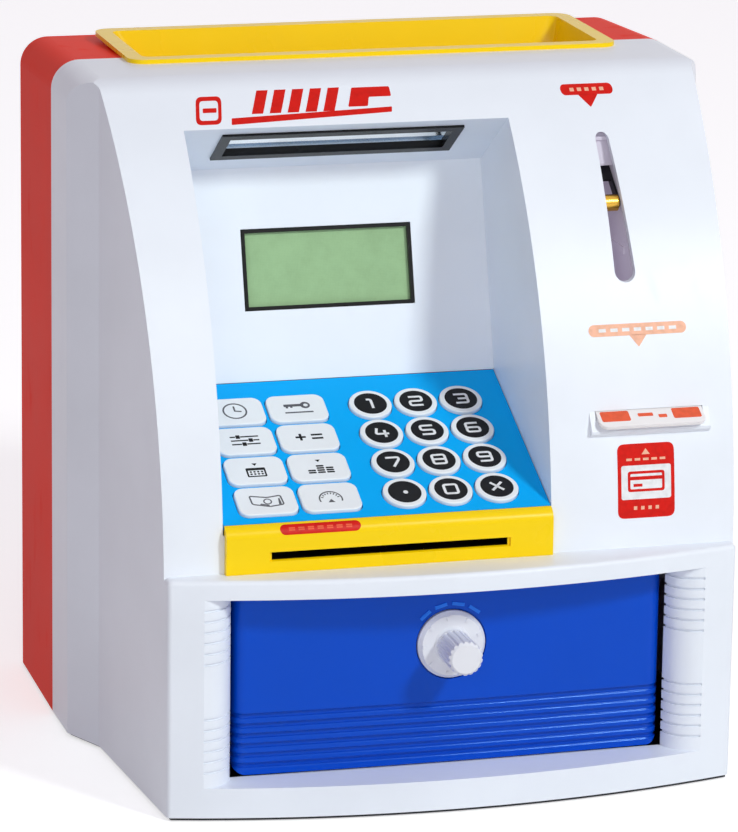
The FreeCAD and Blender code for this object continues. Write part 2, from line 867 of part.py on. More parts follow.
def card_boss():
    """Wedge around the card's mouth."""
    front_y, back_y = d.card_mouth_y - 3.9, d.card_mouth_y + MOUTH_DEEP
    sketch = outline(None, "YZ", [
        (front_y, d.card_mouth_z - 5.2), (front_y + 0.3, d.card_mouth_z - 6.2),
        (d.card_mouth_y - 1.4, d.mouth_foot), (back_y, d.mouth_foot),
        (back_y, d.card_mouth_z + 4.0), (d.card_mouth_y + 0.6, d.card_mouth_z + 1.6)])
    return extrude(sketch, d.card_x + d.mouth_wide / 2, d.mouth_wide / 2 - d.card_x)


def card_path(gap, start, end):
    """The room that the card needs, from start to end along its slope."""
    half = d.card_thick / 2 + gap
    return tilted("card_path", d.card_mouth_y, d.card_mouth_z, d.card_tilt,
                  (d.card_x - d.card_wide / 2 - gap, start, -half),
                  (d.card_x + d.card_wide / 2 + gap, end, half))


def front_housing():
    shell = cut(fuse([base_block(), front_form(0, d.floor_gap, d.parting_depth)]),
                front_form(d.wall, d.floor_gap - 1, d.parting_depth + 1))
    walls = common([alcove_walls(), front_form(d.wall / 2, d.base_height - d.wall,
                                               d.parting_depth)])
    bosses = []
    for side in (-1, 1):
        for height in JOIN_HEIGHTS:
            bosses.append(along_y(BOSS, JOIN_FRONT, d.parting_depth, side * JOIN_X, height))
            near, far = JOIN_X, d.band_width / 2 - d.wall / 2
            left, right = (near, far) if side > 0 else (-far, -near)
            bosses.append(block(left, JOIN_FRONT, height - 1, right, d.parting_depth,
                                height + 1))
        spot_x, spot_y = BASE_SPOTS[0]
        bosses.append(rod(d.boss_radius + 1.0, d.base_boss_high, side * spot_x, spot_y,
                          d.floor_gap + d.base_thick))
    body = fuse([shell, walls, card_boss()] + bosses)
    pillar_half = d.bay_half + d.bay_round + 2.4
    tools = [flared_opening(0, d.bay_sill, d.bay_top)] + alcove_air() + slot_tool()
    for rank in range(JAMB_RIBS):
        for start in (d.rib_upper, d.rib_lower):
            middle = start - d.rib_pitch * rank
            tools.append(flared_opening(d.rib_deep, middle - d.rib_high / 2,
                                        middle + d.rib_high / 2))
    for side in (-1, 1):
        near, far = pillar_half, d.base_width / 2 - d.wall
        left, right = (near, far) if side > 0 else (-far, -near)
        tools.append(block(left, 3.0, d.floor_gap - 1, right, d.lip_back + 1,
                           d.base_height - d.wall))
        for height in JOIN_HEIGHTS:
            tools.append(along_y(PILOT, JOIN_FRONT + 2, d.parting_depth + 1, side * JOIN_X,
                                 height))
        spot_x, spot_y = BASE_SPOTS[0]
        tools.append(rod(PILOT, d.base_boss_high - 1, side * spot_x, spot_y, d.floor_gap))
    tools.append(block(-d.slot_left, -1, d.slot_foot, d.slot_right, 12, d.slot_foot + d.slot_high))
    tools.append(window(d.screen_foot_y, d.screen_foot_z, screen_tilt,
                        d.screen_left + d.fit_gap, d.screen_low - d.fit_gap,
                        d.screen_right + d.fit_gap, d.screen_high + d.fit_gap))
    inset = d.lamp_frame - 1.4
    tools.append(window(d.screen_top_y, d.screen_top_z, lamp_tilt, d.lamp_left - inset,
                        d.lamp_low + inset, d.lamp_right - inset, d.lamp_high - inset))
    tools.append(tray_hole(d.fit_gap))
    tools.append(card_path(d.fit_gap, -FAR / 3, 12.0))
    sill_half = d.bay_half - 16.0
    sill = block(-sill_half, bulge_y(sill_half) + d.wall + 1, d.floor_gap - 1, sill_half,
                 d.lip_back - d.wall, d.bay_sill - d.wall)
    holes = [rod(PILOT, 6, x, d.tab_y, d.base_height - 4) for x in feed_screw_places()]
    housing = cut(body, tools + [sill] + holes)
    return finish(fuse([housing] + key_rails() + feed_ledge_pieces()), "front_housing")


def feed_screw_places():
    return (-(d.alcove_left + d.chassis_left) / 2,
            (d.alcove_right + d.chassis_right + d.chassis_thick) / 2)


def feed_ledge_pieces():
    return [cut(ledge, [rod(PILOT, 6, x, d.tab_y, d.base_height - 4)])
            for ledge, x in zip(feed_ledges(), feed_screw_places())]


def rear_housing():
    shell = cut(rear_form(0, d.parting_depth, d.floor_gap),
                rear_form(d.wall, d.parting_depth - 1, d.floor_gap - 1))
    bosses, tools = [], []
    back = d.body_depth
    for side in (-1, 1):
        for height in JOIN_HEIGHTS:
            bosses.append(along_y(BOSS, d.parting_depth, back - 1, side * JOIN_X, height))
            tools.append(along_y(d.screw_head + d.fit_gap, WELL_END, back + 1, side * JOIN_X,
                                 height))
            tools.append(along_y(d.screw_radius + 0.2, d.parting_depth - 1, WELL_END + 1,
                                 side * JOIN_X, height))
        spot_x, spot_y = BASE_SPOTS[1]
        bosses.append(rod(d.boss_radius + 1.0, d.base_boss_high, side * spot_x, spot_y,
                          d.floor_gap + d.base_thick))
        tools.append(rod(PILOT, d.base_boss_high - 1, side * spot_x, spot_y, d.floor_gap))
    wall_back = back - d.wall
    bosses.append(along_y(d.speaker_radius + d.fit_gap + 1.6, wall_back - 6, wall_back + 0.5,
                          d.speaker_x, d.speaker_z))
    tools.append(along_y(d.speaker_radius + d.fit_gap, wall_back - 7, wall_back, d.speaker_x,
                         d.speaker_z))
    for rank in range(-3, 4):
        reach = math.sqrt(16.0 ** 2 - (rank * 4.6) ** 2)
        height = d.speaker_z + rank * 4.6
        tools.append(block(d.speaker_x - reach, wall_back - 1, height - 1.1,
                           d.speaker_x + reach, back + 1, height + 1.1))
    tools.append(tray_hole(d.fit_gap))
    return finish(cut(fuse([shell] + bosses), tools), "rear_housing")


# ---------------------------------------------------------------- base and power

PLATE_TOP = d.floor_gap + d.base_thick
PLATE_FOOT = d.floor_gap - d.plate_edge
CELLS_Y = d.body_depth - d.wall - 25.5
CELL_COUNT = 3
BATTERY_HALF = d.cell_long / 2 + 1.9
BATTERY_DEEP = d.cell_pitch * CELL_COUNT / 2
COVER_THICK = 1.6
CELL_Z = PLATE_FOOT + COVER_THICK + 0.3 + d.cell_radius
BOX_TOP = CELL_Z + d.cell_radius + 1.0
COVER_SCREW_Y = CELLS_Y - BATTERY_DEEP - 5.2
FOOT_SPOTS = ((d.base_width / 2 - d.foot_inset, d.foot_front),
              (d.base_width / 2 - d.foot_inset, d.body_depth - d.foot_back))
FOOT_SEAT = 1.0


def base_plan(inset, front):
    right, left = front_plan(inset, front)
    rear = d.body_depth - inset
    half = d.band_width / 2 - inset
    corner = d.rear_corner - inset
    tail = half - d.rear_inset
    return right + [(half, d.parting_depth), (tail, rear - corner, corner),
                    (tail - corner, rear), (corner - tail, rear, corner),
                    (-tail, rear - corner), (-half, d.parting_depth)] + left


def base_plate():
    edge = d.plate_inset
    bowed = base_plan(edge, 0)
    bowed.insert(0, (-(d.base_width / 2 - edge), 0, bulge_radius))
    flange = raised(extrude(outline(None, "XY", bowed[:-1]), d.plate_edge), PLATE_FOOT)
    plan = base_plan(d.wall + d.fit_gap, d.lip_back + d.fit_gap)
    inner = raised(extrude(outline(None, "XY", plan), d.base_thick), d.floor_gap)
    pieces, tools = [flange, inner], []
    for side in (-1, 1):
        middle = side * d.runner_half
        pieces.append(block(middle - d.runner_thick / 2, d.lip_back + 2, PLATE_TOP - 0.5,
                            middle + d.runner_thick / 2, d.drawer_back - 4, d.drawer_foot))
        for spot_x, spot_y in FOOT_SPOTS:
            tools.append(rod(d.foot_radius + 0.1, FOOT_SEAT + 1, side * spot_x, spot_y,
                             PLATE_FOOT - 1))
        for spot_x, spot_y in BASE_SPOTS:
            tools.append(rod(d.screw_radius + 0.2, 8, side * spot_x, spot_y, 0))
            tools.append(rod(d.screw_head + 0.3, 2.2, side * spot_x, spot_y, -0.2))
    wall = 1.6
    pieces.append(block(-BATTERY_HALF - wall, CELLS_Y - BATTERY_DEEP - wall, PLATE_TOP - 0.5,
                        BATTERY_HALF + wall, CELLS_Y + BATTERY_DEEP + wall, BOX_TOP + wall))
    pieces.append(rod(d.boss_radius, 6.0, 0, COVER_SCREW_Y, PLATE_TOP - 0.5))
    tools.append(block(-BATTERY_HALF, CELLS_Y - BATTERY_DEEP, PLATE_FOOT - 1, BATTERY_HALF,
                       CELLS_Y + BATTERY_DEEP, BOX_TOP))
    tools.append(cover_form(d.fit_gap, -1))
    tools.append(rod(PILOT, 7, 0, COVER_SCREW_Y, PLATE_FOOT))
    return finish(cut(fuse(pieces), tools), "base_plate")


def cover_form(gap, drop):
    """The battery door's outline, grown by a gap for its recess."""
    return block(-BATTERY_HALF - 4 - gap, COVER_SCREW_Y - 5 - gap, PLATE_FOOT + drop,
                 BATTERY_HALF + 4 + gap, CELLS_Y + BATTERY_DEEP + 3 + gap,
                 PLATE_FOOT + COVER_THICK)


def battery_cover():
    door = cover_form(0, 0)
    rib = block(0.8 - BATTERY_HALF, CELLS_Y - BATTERY_DEEP + 0.4, PLATE_FOOT + COVER_THICK - 0.2,
                1.6 - BATTERY_HALF, CELLS_Y + BATTERY_DEEP - 0.4, PLATE_FOOT + COVER_THICK + 3)
    tools = [rod(d.screw_radius + 0.2, 4, 0, COVER_SCREW_Y, PLATE_FOOT - 1),
             rod(d.screw_head + 0.2, 1.0, 0, COVER_SCREW_Y, PLATE_FOOT - 0.1)]
    return finish(cut(fuse([door, rib]), tools), "battery_cover")


def batteries():
    cells = []
    for rank in range(CELL_COUNT):
        y = CELLS_Y + d.cell_pitch * (rank - 1)
        side = 1 if rank % 2 else -1
        can = rod(d.cell_radius, d.cell_long, -d.cell_long / 2, y, CELL_Z, Vector(0, 1, 0), 90)
        cap_x = d.cell_long / 2 - 0.5 if side > 0 else -d.cell_long / 2 - 1.2
        cap = rod(2.7, 1.7, cap_x, y, CELL_Z, Vector(0, 1, 0), 90)
        cells.append(fuse([can, cap]))
    return finish(together(cells), "batteries")


def battery_contacts():
    plates = []
    for side in (-1, 1):
        for rank in range(CELL_COUNT):
            y = CELLS_Y + d.cell_pitch * (rank - 1)
            inner, outer_x = BATTERY_HALF - 0.5, BATTERY_HALF
            left, right = (inner, outer_x) if side > 0 else (-outer_x, -inner)
            plates.append(block(left, y - 5, CELL_Z - 5, right, y + 5, CELL_Z + 5))
    return finish(together(plates), "battery_contacts")


def rubber_feet():
    feet = [rod(d.foot_radius, PLATE_FOOT + FOOT_SEAT, side * x, y, 0)
            for x, y in FOOT_SPOTS for side in (-1, 1)]
    return finish(together(feet), "rubber_feet")


def screw_body(name, length, head=2.0):
    """A pan-head screw whose point is at its own origin and whose head is up."""
    body = new_body(name)
    revolve(body, [(0, 0), (d.screw_radius - 0.35, 0.0), (d.screw_radius - 0.2, 1.2),
                   (d.screw_radius - 0.2, length), (d.screw_head, length),
                   (d.screw_head, length + head * 0.6), (d.screw_head - 0.8, length + head),
                   (0, length + head)])
    for turned in (False, True):
        wide, thin = (1.7, 0.35) if turned else (0.35, 1.7)
        pocket(body, outline(body, "XY", rectangle(-wide, -thin, wide, thin),
                             Size.of(length) + head), 0.9)
    return body


def screw_set(label, length, spots, axis, angle, head=2.0):
    """Identical screws kept as one group; each spot is the place of a point."""
    screws = []
    for rank, (x, y, z) in enumerate(spots):
        screws.append(at(screw_body("%s_%d" % (label, rank), length, head), x, y, z, axis,
                         angle))
    return finish(together(screws), label)


# ---------------------------------------------------------------- keypad

NUMBER_LABELS = (("1", "2", "3"), ("4", "5", "6"), ("7", "8", "9"), ("dot", "0", "clear"))
POST_RADIUS = 2.0
POST_NEAR, POST_FAR = 6.6, keypad_long - 7.4
BOARD_LEFT, BOARD_RIGHT = 5.0 - d.alcove_left, d.alcove_right - 3.4


def row_along(row):
    """Distance of a key row from the keypad's front edge; row 0 is the top row."""
    return d.row_first + d.row_pitch * (3 - row)


def number_x(column):
    return d.number_first + d.number_pitch * column


def function_x(column):
    return d.function_first + d.function_pitch * column


POST_LEFT = (function_x(1) + d.function_wide / 2 + number_x(0) - d.number_radius) / 2
POST_RIGHT = d.alcove_right - 5.8
POST_PLACES = ((POST_LEFT, POST_NEAR), (POST_LEFT, POST_FAR), (POST_RIGHT, POST_NEAR),
               (POST_RIGHT, POST_FAR))


def on_keypad(body, label, x, along, lift=0):
    """Finish a piece drawn on the keypad's surface."""
    y, z = tilted_point(d.keypad_front_y, keypad_front_z, d.keypad_tilt, along, lift)
    return finish(body, label, x, y, z, Vector(1, 0, 0), d.keypad_tilt)


def keypad_plate():
    body = new_body("keypad_plate_body")
    gap = d.fit_gap
    pad(body, outline(body, "XY", rectangle(gap - d.alcove_left, gap, d.alcove_right - gap,
                                            keypad_long - gap)), d.plate_thick, down=True)
    holes = new_sketch(body, "XY", 0)
    for row in range(4):
        for column in range(3):
            draw_circle(holes, number_x(column), row_along(row), d.number_radius + d.key_gap)
    pocket(body, holes, d.plate_thick)
    wide = d.function_wide / 2 + d.key_gap
    tall = d.function_high / 2 + d.key_gap
    for row in range(4):
        for column in range(2):
            x, along = function_x(column), row_along(row)
            pocket(body, outline(body, "XY", round_rectangle(
                x - wide, along - tall, x + wide, along + tall, d.function_round)),
                d.plate_thick)
    posts = new_sketch(body, "XY", -d.plate_thick)
    for x, along in POST_PLACES:
        draw_circle(posts, x, along, POST_RADIUS)
    pad(body, posts, board_top - d.plate_thick, down=True)
    bores = new_sketch(body, "XY", -board_top)
    for x, along in POST_PLACES:
        draw_circle(bores, x, along, PILOT)
    pocket(body, bores, 3.4, up=True)
    return on_keypad(body, "keypad_plate", 0, 0)


def board_like(name, top, thick, with_plungers, front=d.board_front):
    """A sheet under the keys with holes for the posts and, if asked, the plungers."""
    body = new_body(name)
    pad(body, outline(body, "XY", rectangle(BOARD_LEFT, front, BOARD_RIGHT, keypad_long - 4),
                      -top), thick, down=True)
    holes = new_sketch(body, "XY", -top)
    if with_plungers:
        for x, along in POST_PLACES:
            draw_circle(holes, x, along, POST_RADIUS + 0.2)
        for row in range(4):
            for column in range(3):
                draw_circle(holes, number_x(column), row_along(row), d.plunger_radius + 0.3)
            for column in range(2):
                draw_circle(holes, function_x(column), row_along(row), d.plunger_radius + 0.3)
    else:
        for x, along in POST_PLACES:
            draw_circle(holes, x, along, d.screw_radius)
    pocket(body, holes, thick)
    return on_keypad(body, name.replace("_body", ""), 0, 0)


def key_stem(body):
    """The plunger under a key that presses the mat's contact."""
    pad(body, ring(body, "XY", 0, 0, d.plunger_radius, -lug_drop + 0.2),
        membrane_top + d.membrane_thick - lug_drop + 0.2, down=True)


def soften_rim(body, cap):
    """Round the upper rim of a key."""
    doc.recompute()
    top = cap.Shape.BoundBox.ZMax
    numbers = edges_near(cap.Shape, lambda edge, middle: edge.BoundBox.ZMin > top - 0.05)
    rim = body.newObject("PartDesign::Fillet", "rim")
    rim.Base = (cap, ["Edge%d" % number for number in numbers])
    rim.Radius = 0.5


def round_key(label, column, row):
    body = new_body(label + "_body")
    depth = d.key_rise + lug_drop
    cap = pad(body, ring(body, "XY", 0, 0, d.number_radius, d.key_rise), depth, down=True)
    soften_rim(body, cap)
    diagonal = 1 / math.sqrt(2)
    reach = d.number_radius + 1.7
    corners = [(0, -1.2), (reach, -1.2), (reach, 1.2), (0, 1.2)]
    lug = pad(body, outline(body, "XY", [
        ((along - side) * diagonal, (along + side) * diagonal) for along, side in corners],
        -d.plate_thick), d.lug_thick, down=True)
    polar(body, lug, 4)
    key_stem(body)
    return on_keypad(body, label, number_x(column), row_along(row))


def function_key(label, column, row):
    body = new_body(label + "_body")
    wide, tall = d.function_wide / 2, d.function_high / 2
    cap = pad(body, outline(body, "XY", round_rectangle(-wide, -tall, wide, tall,
                                                        d.function_round), d.key_rise),
              d.key_rise + lug_drop, down=True)
    soften_rim(body, cap)
    reach = wide + 1.1
    pad(body, outline(body, "XY", [(-reach, -5.0), (reach, 2.0), (reach, 5.0), (-reach, -2.0)],
                      -d.plate_thick), d.lug_thick, down=True)
    key_stem(body)
    return on_keypad(body, label, function_x(column), row_along(row))


# ---------------------------------------------------------------- note slot and feed

def note_slot_bezel():
    """Front moulding of the note slot, with a tongue that reaches through the shell."""
    left, right = -d.alcove_left + 0.4, d.alcove_right - 0.2
    back = face_y(d.base_height) - 0.05
    top_y, top_z = d.keypad_front_y, keypad_front_z
    front = outline(None, "YZ", [
        (d.bezel_front, d.base_height + 0.05), (back, d.base_height + 0.05),
        (back, d.bezel_shoulder + 0.1), (top_y + 0.1, d.bezel_shoulder + 0.1),
        (top_y + 0.1, top_z, 4.6), (d.bezel_front, d.bezel_shoulder - 0.6)])
    face = extrude(front, right, -left)
    gap = d.fit_gap
    tongue = block(gap - d.slot_left, d.bezel_front + 1, d.slot_foot + gap,
                   d.slot_right - gap, d.tongue_back, d.slot_foot + d.slot_high - gap)
    skin = gap + 0.6
    mouth = block(skin - d.slot_left, -1, d.slot_foot + skin, d.slot_right - skin, 12,
                  d.slot_foot + d.slot_high - skin)
    flare = outline(None, "YZ", [
        (0, d.slot_foot), (d.bezel_front + 0.9, d.slot_foot + skin),
        (d.bezel_front + 0.9, d.slot_foot + d.slot_high - skin),
        (0, d.slot_foot + d.slot_high)])
    funnel = extrude(flare, d.slot_right, d.slot_left)
    return finish(cut(fuse([face, tongue]), [mouth, funnel]), "note_slot_bezel")


def feed_chassis():
    """Two side plates, two note guides and the tabs that hold them."""
    left, right = -d.chassis_left, d.chassis_right
    thick = d.chassis_thick
    front = d.tongue_back + d.fit_gap
    back = d.feed_y + 12
    side = [(front, d.chassis_foot), (back, d.chassis_foot), (back, d.chassis_top),
            (back - 14, d.chassis_top), (front + 2.7, d.chassis_step), (front, d.chassis_step)]
    floor_top = d.slot_foot - 0.2
    roof_foot = d.slot_foot + d.slot_high + 0.2
    guide_end = d.feed_y - d.tyre_radius - 1
    pieces = [
        extrude(outline(None, "YZ", side), left + thick, -left),
        extrude(outline(None, "YZ", side), right + thick, -right),
        block(left, front, floor_top - d.guide_thick, right + thick, guide_end, floor_top),
        block(left, front, roof_foot, right + thick, guide_end - 12, roof_foot + 0.9),
    ]
    tab = d.base_height, d.base_height + 1.8
    tab_back = d.ledge_back - 0.5
    pieces.append(block(0.4 - d.alcove_left, front, tab[0], left + 0.5, tab_back,
                        tab[1]))
    pieces.append(block(right + thick - 0.5, front, tab[0], d.alcove_right - 0.4, tab_back,
                        tab[1]))
    tools = []
    for height in (drive_z, press_z):
        tools.append(rod(d.shaft_radius + d.shaft_gap, d.band_width, -d.band_width / 2, d.feed_y,
                         height, Vector(0, 1, 0), 90))
    for x in feed_screw_places():
        tools.append(rod(d.screw_radius + 0.2, 6, x, d.tab_y, d.base_height - 2))
    tools.append(rod(d.motor_radius + 0.3, 6, left - 1, MOTOR_Y, MOTOR_Z, Vector(0, 1, 0), 90))
    return finish(cut(fuse(pieces), tools), "feed_chassis")


MOTOR_Y = d.feed_y + d.tyre_radius + d.motor_radius + 0.8
MOTOR_Z = note_z + d.motor_radius - 4.1


def feed_gearmotor():
    """Sealed gear case outside the left plate, with its motor can inside."""
    outer_x = 0.6 - d.alcove_left
    low = press_z + d.shaft_radius + 0.8
    case = block(outer_x, d.motor_case_front, low, -d.chassis_left, MOTOR_Y + 10, MOTOR_Z + 6.0)
    can = rod(d.motor_radius, d.motor_long, -d.chassis_left - 1, MOTOR_Y, MOTOR_Z, Vector(0, 1, 0), 90)
    nose = rod(2.4, 1.6, d.motor_long - 1.1 - d.chassis_left, MOTOR_Y, MOTOR_Z, Vector(0, 1, 0), 90)
    socket = rod(d.shaft_radius + d.shaft_gap, 6.0, -d.chassis_left - 5, d.feed_y, drive_z,
                 Vector(0, 1, 0), 90)
    return finish(cut(fuse([case, can, nose]), socket), "feed_gearmotor")


def feed_shaft(label, height, reach_left):
    """A shaft across both side plates, turned about the body's own z axis."""
    body = new_body(label + "_body")
    left = -d.chassis_left - reach_left
    length = d.chassis_right + d.chassis_thick + 2.0 - left
    flat_end = length - 0.5
    revolve(body, [(0, 0), (d.shaft_radius, 0), (d.shaft_radius, flat_end),
                   (d.shaft_radius - 0.5, length), (0, length)])
    return finish(body, label, left, d.feed_y, height, Vector(0, 1, 0), 90)


def feed_rollers(label, height, radius, wide, grooved):
    """Two equal rollers on a shaft, kept as one group."""
    rollers = []
    middle = (d.chassis_right + d.chassis_thick - d.chassis_left) / 2
    for rank, side in enumerate((-1, 1)):
        body = new_body("%s_%d" % (label, rank))
        bore = d.shaft_radius
        shoulder = 0.6 if grooved else 0.3
        revolve(body, [(bore, 0), (radius - shoulder, 0), (radius, shoulder),
                       (radius, wide - shoulder), (radius - shoulder, wide), (bore, wide)])
        x = middle + side * d.tyre_spread / 2 - wide / 2
        rollers.append(at(body, x, d.feed_y, height, Vector(0, 1, 0), 90))
    return finish(together(rollers), label)


# ---------------------------------------------------------------- screen and lamp

def screen_place(body, label):
    return finish(body, label, 0, d.screen_foot_y, d.screen_foot_z, Vector(1, 0, 0), screen_tilt)


def lamp_place(body, label):
    return finish(body, label, 0, d.screen_top_y, d.screen_top_z, Vector(1, 0, 0), lamp_tilt)


def box_rim(body, bounds, margin, top, depth):
    """Pad a rectangle grown by a margin, from a height down by a depth."""
    left, low, right, high = bounds
    return pad(body, outline(body, "XY", rectangle(left - margin, low - margin, right + margin,
                                                   high + margin), top), depth, down=True)


def box_hole(body, bounds, margin, top, depth):
    left, low, right, high = bounds
    return pocket(body, outline(body, "XY", rectangle(left - margin, low - margin,
                                                      right + margin, high + margin), top),
                  depth)


SCREEN = (-d.screen_left, d.screen_low, d.screen_right, d.screen_high)
LAMP = (-d.lamp_left, d.lamp_low, d.lamp_right, d.lamp_high)
GLASS_DEEP = 1.4
GLASS_THICK = 2.0


def lcd_frame():
    body = new_body("lcd_frame_body")
    box_rim(body, SCREEN, 0, 0.2, 0.2 + d.wall)
    box_rim(body, SCREEN, 1.6, -d.wall, 1.4)
    box_hole(body, SCREEN, -d.frame_wide, 0.2, 8)
    pocket_top = -GLASS_DEEP
    box_hole(body, SCREEN, -0.5, pocket_top, 8)
    return screen_place(body, "lcd_frame")


def lcd_glass():
    body = new_body("lcd_glass_body")
    box_rim(body, SCREEN, -0.8, -GLASS_DEEP, GLASS_THICK)
    return screen_place(body, "lcd_glass")


def lamp_bezel():
    body = new_body("lamp_bezel_body")
    box_rim(body, LAMP, 0, 0.9, 0.9)
    inset = d.lamp_frame - 1.4
    box_rim(body, LAMP, -inset - d.fit_gap, 0, d.wall - 0.2)
    box_hole(body, LAMP, -d.lamp_frame, 0.9, 8)
    return lamp_place(body, "lamp_bezel")


def lamp_reflector():
    """Bright trough behind the lamp's window."""
    body = new_body("lamp_reflector_body")
    deep = d.lamp_deep
    box_rim(body, LAMP, 1.0, -d.wall, 1.0)
    box_rim(body, LAMP, -1.0, -d.wall - 0.5, deep)
    left, low, right, high = LAMP
    middle = (low + high) / 2
    half = (high - low) / 2 - d.lamp_frame + 0.6
    trough = outline(body, "YZ", [
        (middle - half, -d.wall + 1), (middle - half, -d.wall - 1.6),
        (middle - 2.4, -deep - 0.6, 7.5), (middle + 2.4, -deep - 0.6),
        (middle + half, -d.wall - 1.6), (middle + half, -d.wall + 1)],
        left + d.lamp_frame - 0.6)
    trough_long = right - left - 2 * d.lamp_frame + 1.2
    pocket(body, trough, trough_long, up=True)
    return lamp_place(body, "lamp_reflector")


def lamp_tube():
    body = new_body("lamp_tube_body")
    left, low, right, high = LAMP
    inset = d.lamp_frame - 0.6
    start = left + inset + d.fit_gap / 3
    long = right - left - 2 * (inset + d.fit_gap / 3)
    revolve(body, [(0, 0), (1.1, 0), (1.1, 3.2), (d.tube_radius, 4.4), (d.tube_radius, long - 4.4),
                   (1.1, long - 3.2), (1.1, long), (0, long)])
    y, z = tilted_point(d.screen_top_y, d.screen_top_z, lamp_tilt, (low + high) / 2, -4.0)
    return finish(body, "lamp_tube", start, y, z, Vector(0, 1, 0), 90)


# ---------------------------------------------------------------- coin way and card

def chute_form(wall):
    """Side outline of the coin way behind the right cheek, shrunk by a wall."""
    inset = d.wall + 0.05
    low_z = d.coin_foot - 5
    foot = d.chute_foot - wall * 3.5
    return [
        (face_y(low_z, inset), low_z + wall), (d.chute_front + wall, low_z - 7 + wall),
        (d.chute_front + wall, foot), (d.chute_back - wall, foot),
        (d.chute_back - wall, d.chute_top - wall),
        (face_y(d.coin_top + 5, inset), d.coin_top + 5 - wall),
    ]


def coin_chute():
    inset = d.wall + 0.05
    outer_half = d.chute_half + d.chute_wall
    body = extrude(outline(None, "YZ", chute_form(0)), d.coin_x + outer_half,
                   outer_half - d.coin_x)
    way = extrude(outline(None, "YZ", chute_form(d.chute_wall)), d.coin_x + d.chute_half,
                  d.chute_half - d.coin_x)
    low, high = d.base_height, d.coin_top + 9
    ahead = outline(None, "YZ", [
        (face_y(low, inset) - FAR, low), (face_y(low, inset), low, -(d.face_radius - inset)),
        (face_y(high, inset), high), (face_y(low, inset) - FAR, high)])
    front = extrude(ahead, d.band_width / 2, 0)
    pin = rod(d.lever_pin_radius, outer_half * 2 + 2, d.coin_x - outer_half - 1, d.lever_y,
              d.lever_z, Vector(0, 1, 0), 90)
    entry = block(d.coin_x - d.chute_half, d.face_foot, d.coin_foot - 3,
                  d.coin_x + d.chute_half, d.lever_y - 8, d.coin_top + 2)
    stop = block(d.coin_x + d.chute_half - 0.6, d.lever_y - 23, d.stop_z,
                 d.coin_x + d.chute_half + 0.3, d.lever_y, d.stop_z + 2.4)
    bridge_y, bridge_z = face_y(d.bridge_z, inset) + 1, d.bridge_z
    bridge = block(d.coin_x - d.chute_half - 0.3, bridge_y, bridge_z,
                   d.coin_x + d.chute_half + 0.3, bridge_y + 2.4, bridge_z + 1.2)
    shell = cut(body, [way, front, pin, entry])
    return finish(fuse([shell, stop, bridge]), "coin_chute")


def coin_lever_pin():
    half = d.chute_half + d.chute_wall
    pin = rod(d.lever_pin_radius, half * 2)
    return finish(pin, "coin_lever_pin", d.coin_x - half, d.lever_y, d.lever_z,
                  Vector(0, 1, 0), 90)


def lever_hole(radius, y, z):
    return rod(radius, 12, d.coin_x - 6, y, z, Vector(0, 1, 0), 90)


def coin_lever():
    """Forked lever that the coins push past."""
    half = d.chute_half - 0.5
    thick, wide = d.lever_thick, d.lever_wide
    back, up = d.lever_y - d.barrel_y, d.lever_z - d.barrel_z
    reach = root(back * back + up * up)
    tilt = slope_angle(up, back)

    def bar(left, long, start, lift, width, height):
        solid = doc.addObject("Part::Box", "bar")
        for path, size in (("Length", long), ("Width", width), ("Height", height)):
            setattr(solid, path, size.value)
            bind(solid, path, size)
        y, z = tilted_point(d.barrel_y, d.barrel_z, tilt, start, lift)
        return at(solid, left, y, z, Vector(1, 0, 0), tilt)

    pieces = [bar(d.coin_x - half, half * 2, reach * 0.45, wide / 2 - 1, reach * 0.3,
                  Size.of(1.0))]
    for side in (-1, 1):
        left = d.coin_x + (half - thick if side > 0 else -half)
        pieces.append(rod(wide / 2, thick, left, d.barrel_y, d.barrel_z, Vector(0, 1, 0), 90))
        pieces.append(rod(d.lever_pin_radius + 0.9, thick, left, d.lever_y, d.lever_z,
                          Vector(0, 1, 0), 90))
        pieces.append(bar(left, thick, 0, -wide / 2, reach, wide))
    holes = [lever_hole(d.lever_pin_radius + d.shaft_gap, d.lever_y, d.lever_z),
             lever_hole(0.8, d.barrel_y, d.barrel_z)]
    return finish(cut(fuse(pieces), holes), "coin_lever")


def coin_roller():
    half = d.chute_half - 0.5
    thick = d.lever_thick + d.shaft_gap
    barrel = rod(d.barrel_radius, (half - thick) * 2, d.coin_x - half + thick, d.barrel_y,
                 d.barrel_z, Vector(0, 1, 0), 90)
    axle = rod(0.8, half * 2, d.coin_x - half, d.barrel_y, d.barrel_z, Vector(0, 1, 0), 90)
    return finish(fuse([barrel, axle]), "coin_roller")


def card_frame(x_half, start, end, half):
    return tilted("card_block", d.card_mouth_y, d.card_mouth_z, d.card_tilt,
                  (d.card_x - x_half, start, -half), (d.card_x + x_half, end, half))


def card_guide():
    """Sleeve behind the card's mouth."""
    gap, wall = d.fit_gap, 1.2
    half = d.card_thick / 2 + gap
    inside = d.card_wide / 2 + gap
    sleeve = card_frame(inside + wall, 0, d.card_long - d.card_out + 2, half + wall)
    way = card_frame(inside, -1, d.card_long - d.card_out + 0.4, half)
    inset = d.wall + 0.05
    low, high = d.mouth_foot, d.card_mouth_z + d.card_long
    face = outline(None, "YZ", [
        (face_y(low, inset) - FAR, low), (face_y(low, inset), low, -(d.face_radius - inset)),
        (face_y(high, inset), high), (face_y(low, inset) - FAR, high)])
    boss = block(d.card_x - d.mouth_wide / 2 - 1, -5, d.mouth_foot - 3,
                 d.card_x + d.mouth_wide / 2 + 1, d.card_mouth_y + MOUTH_DEEP + 0.05,
                 d.card_mouth_z + 9)
    return finish(cut(sleeve, [way, extrude(face, d.band_width / 2, 0), boss]), "card_guide")


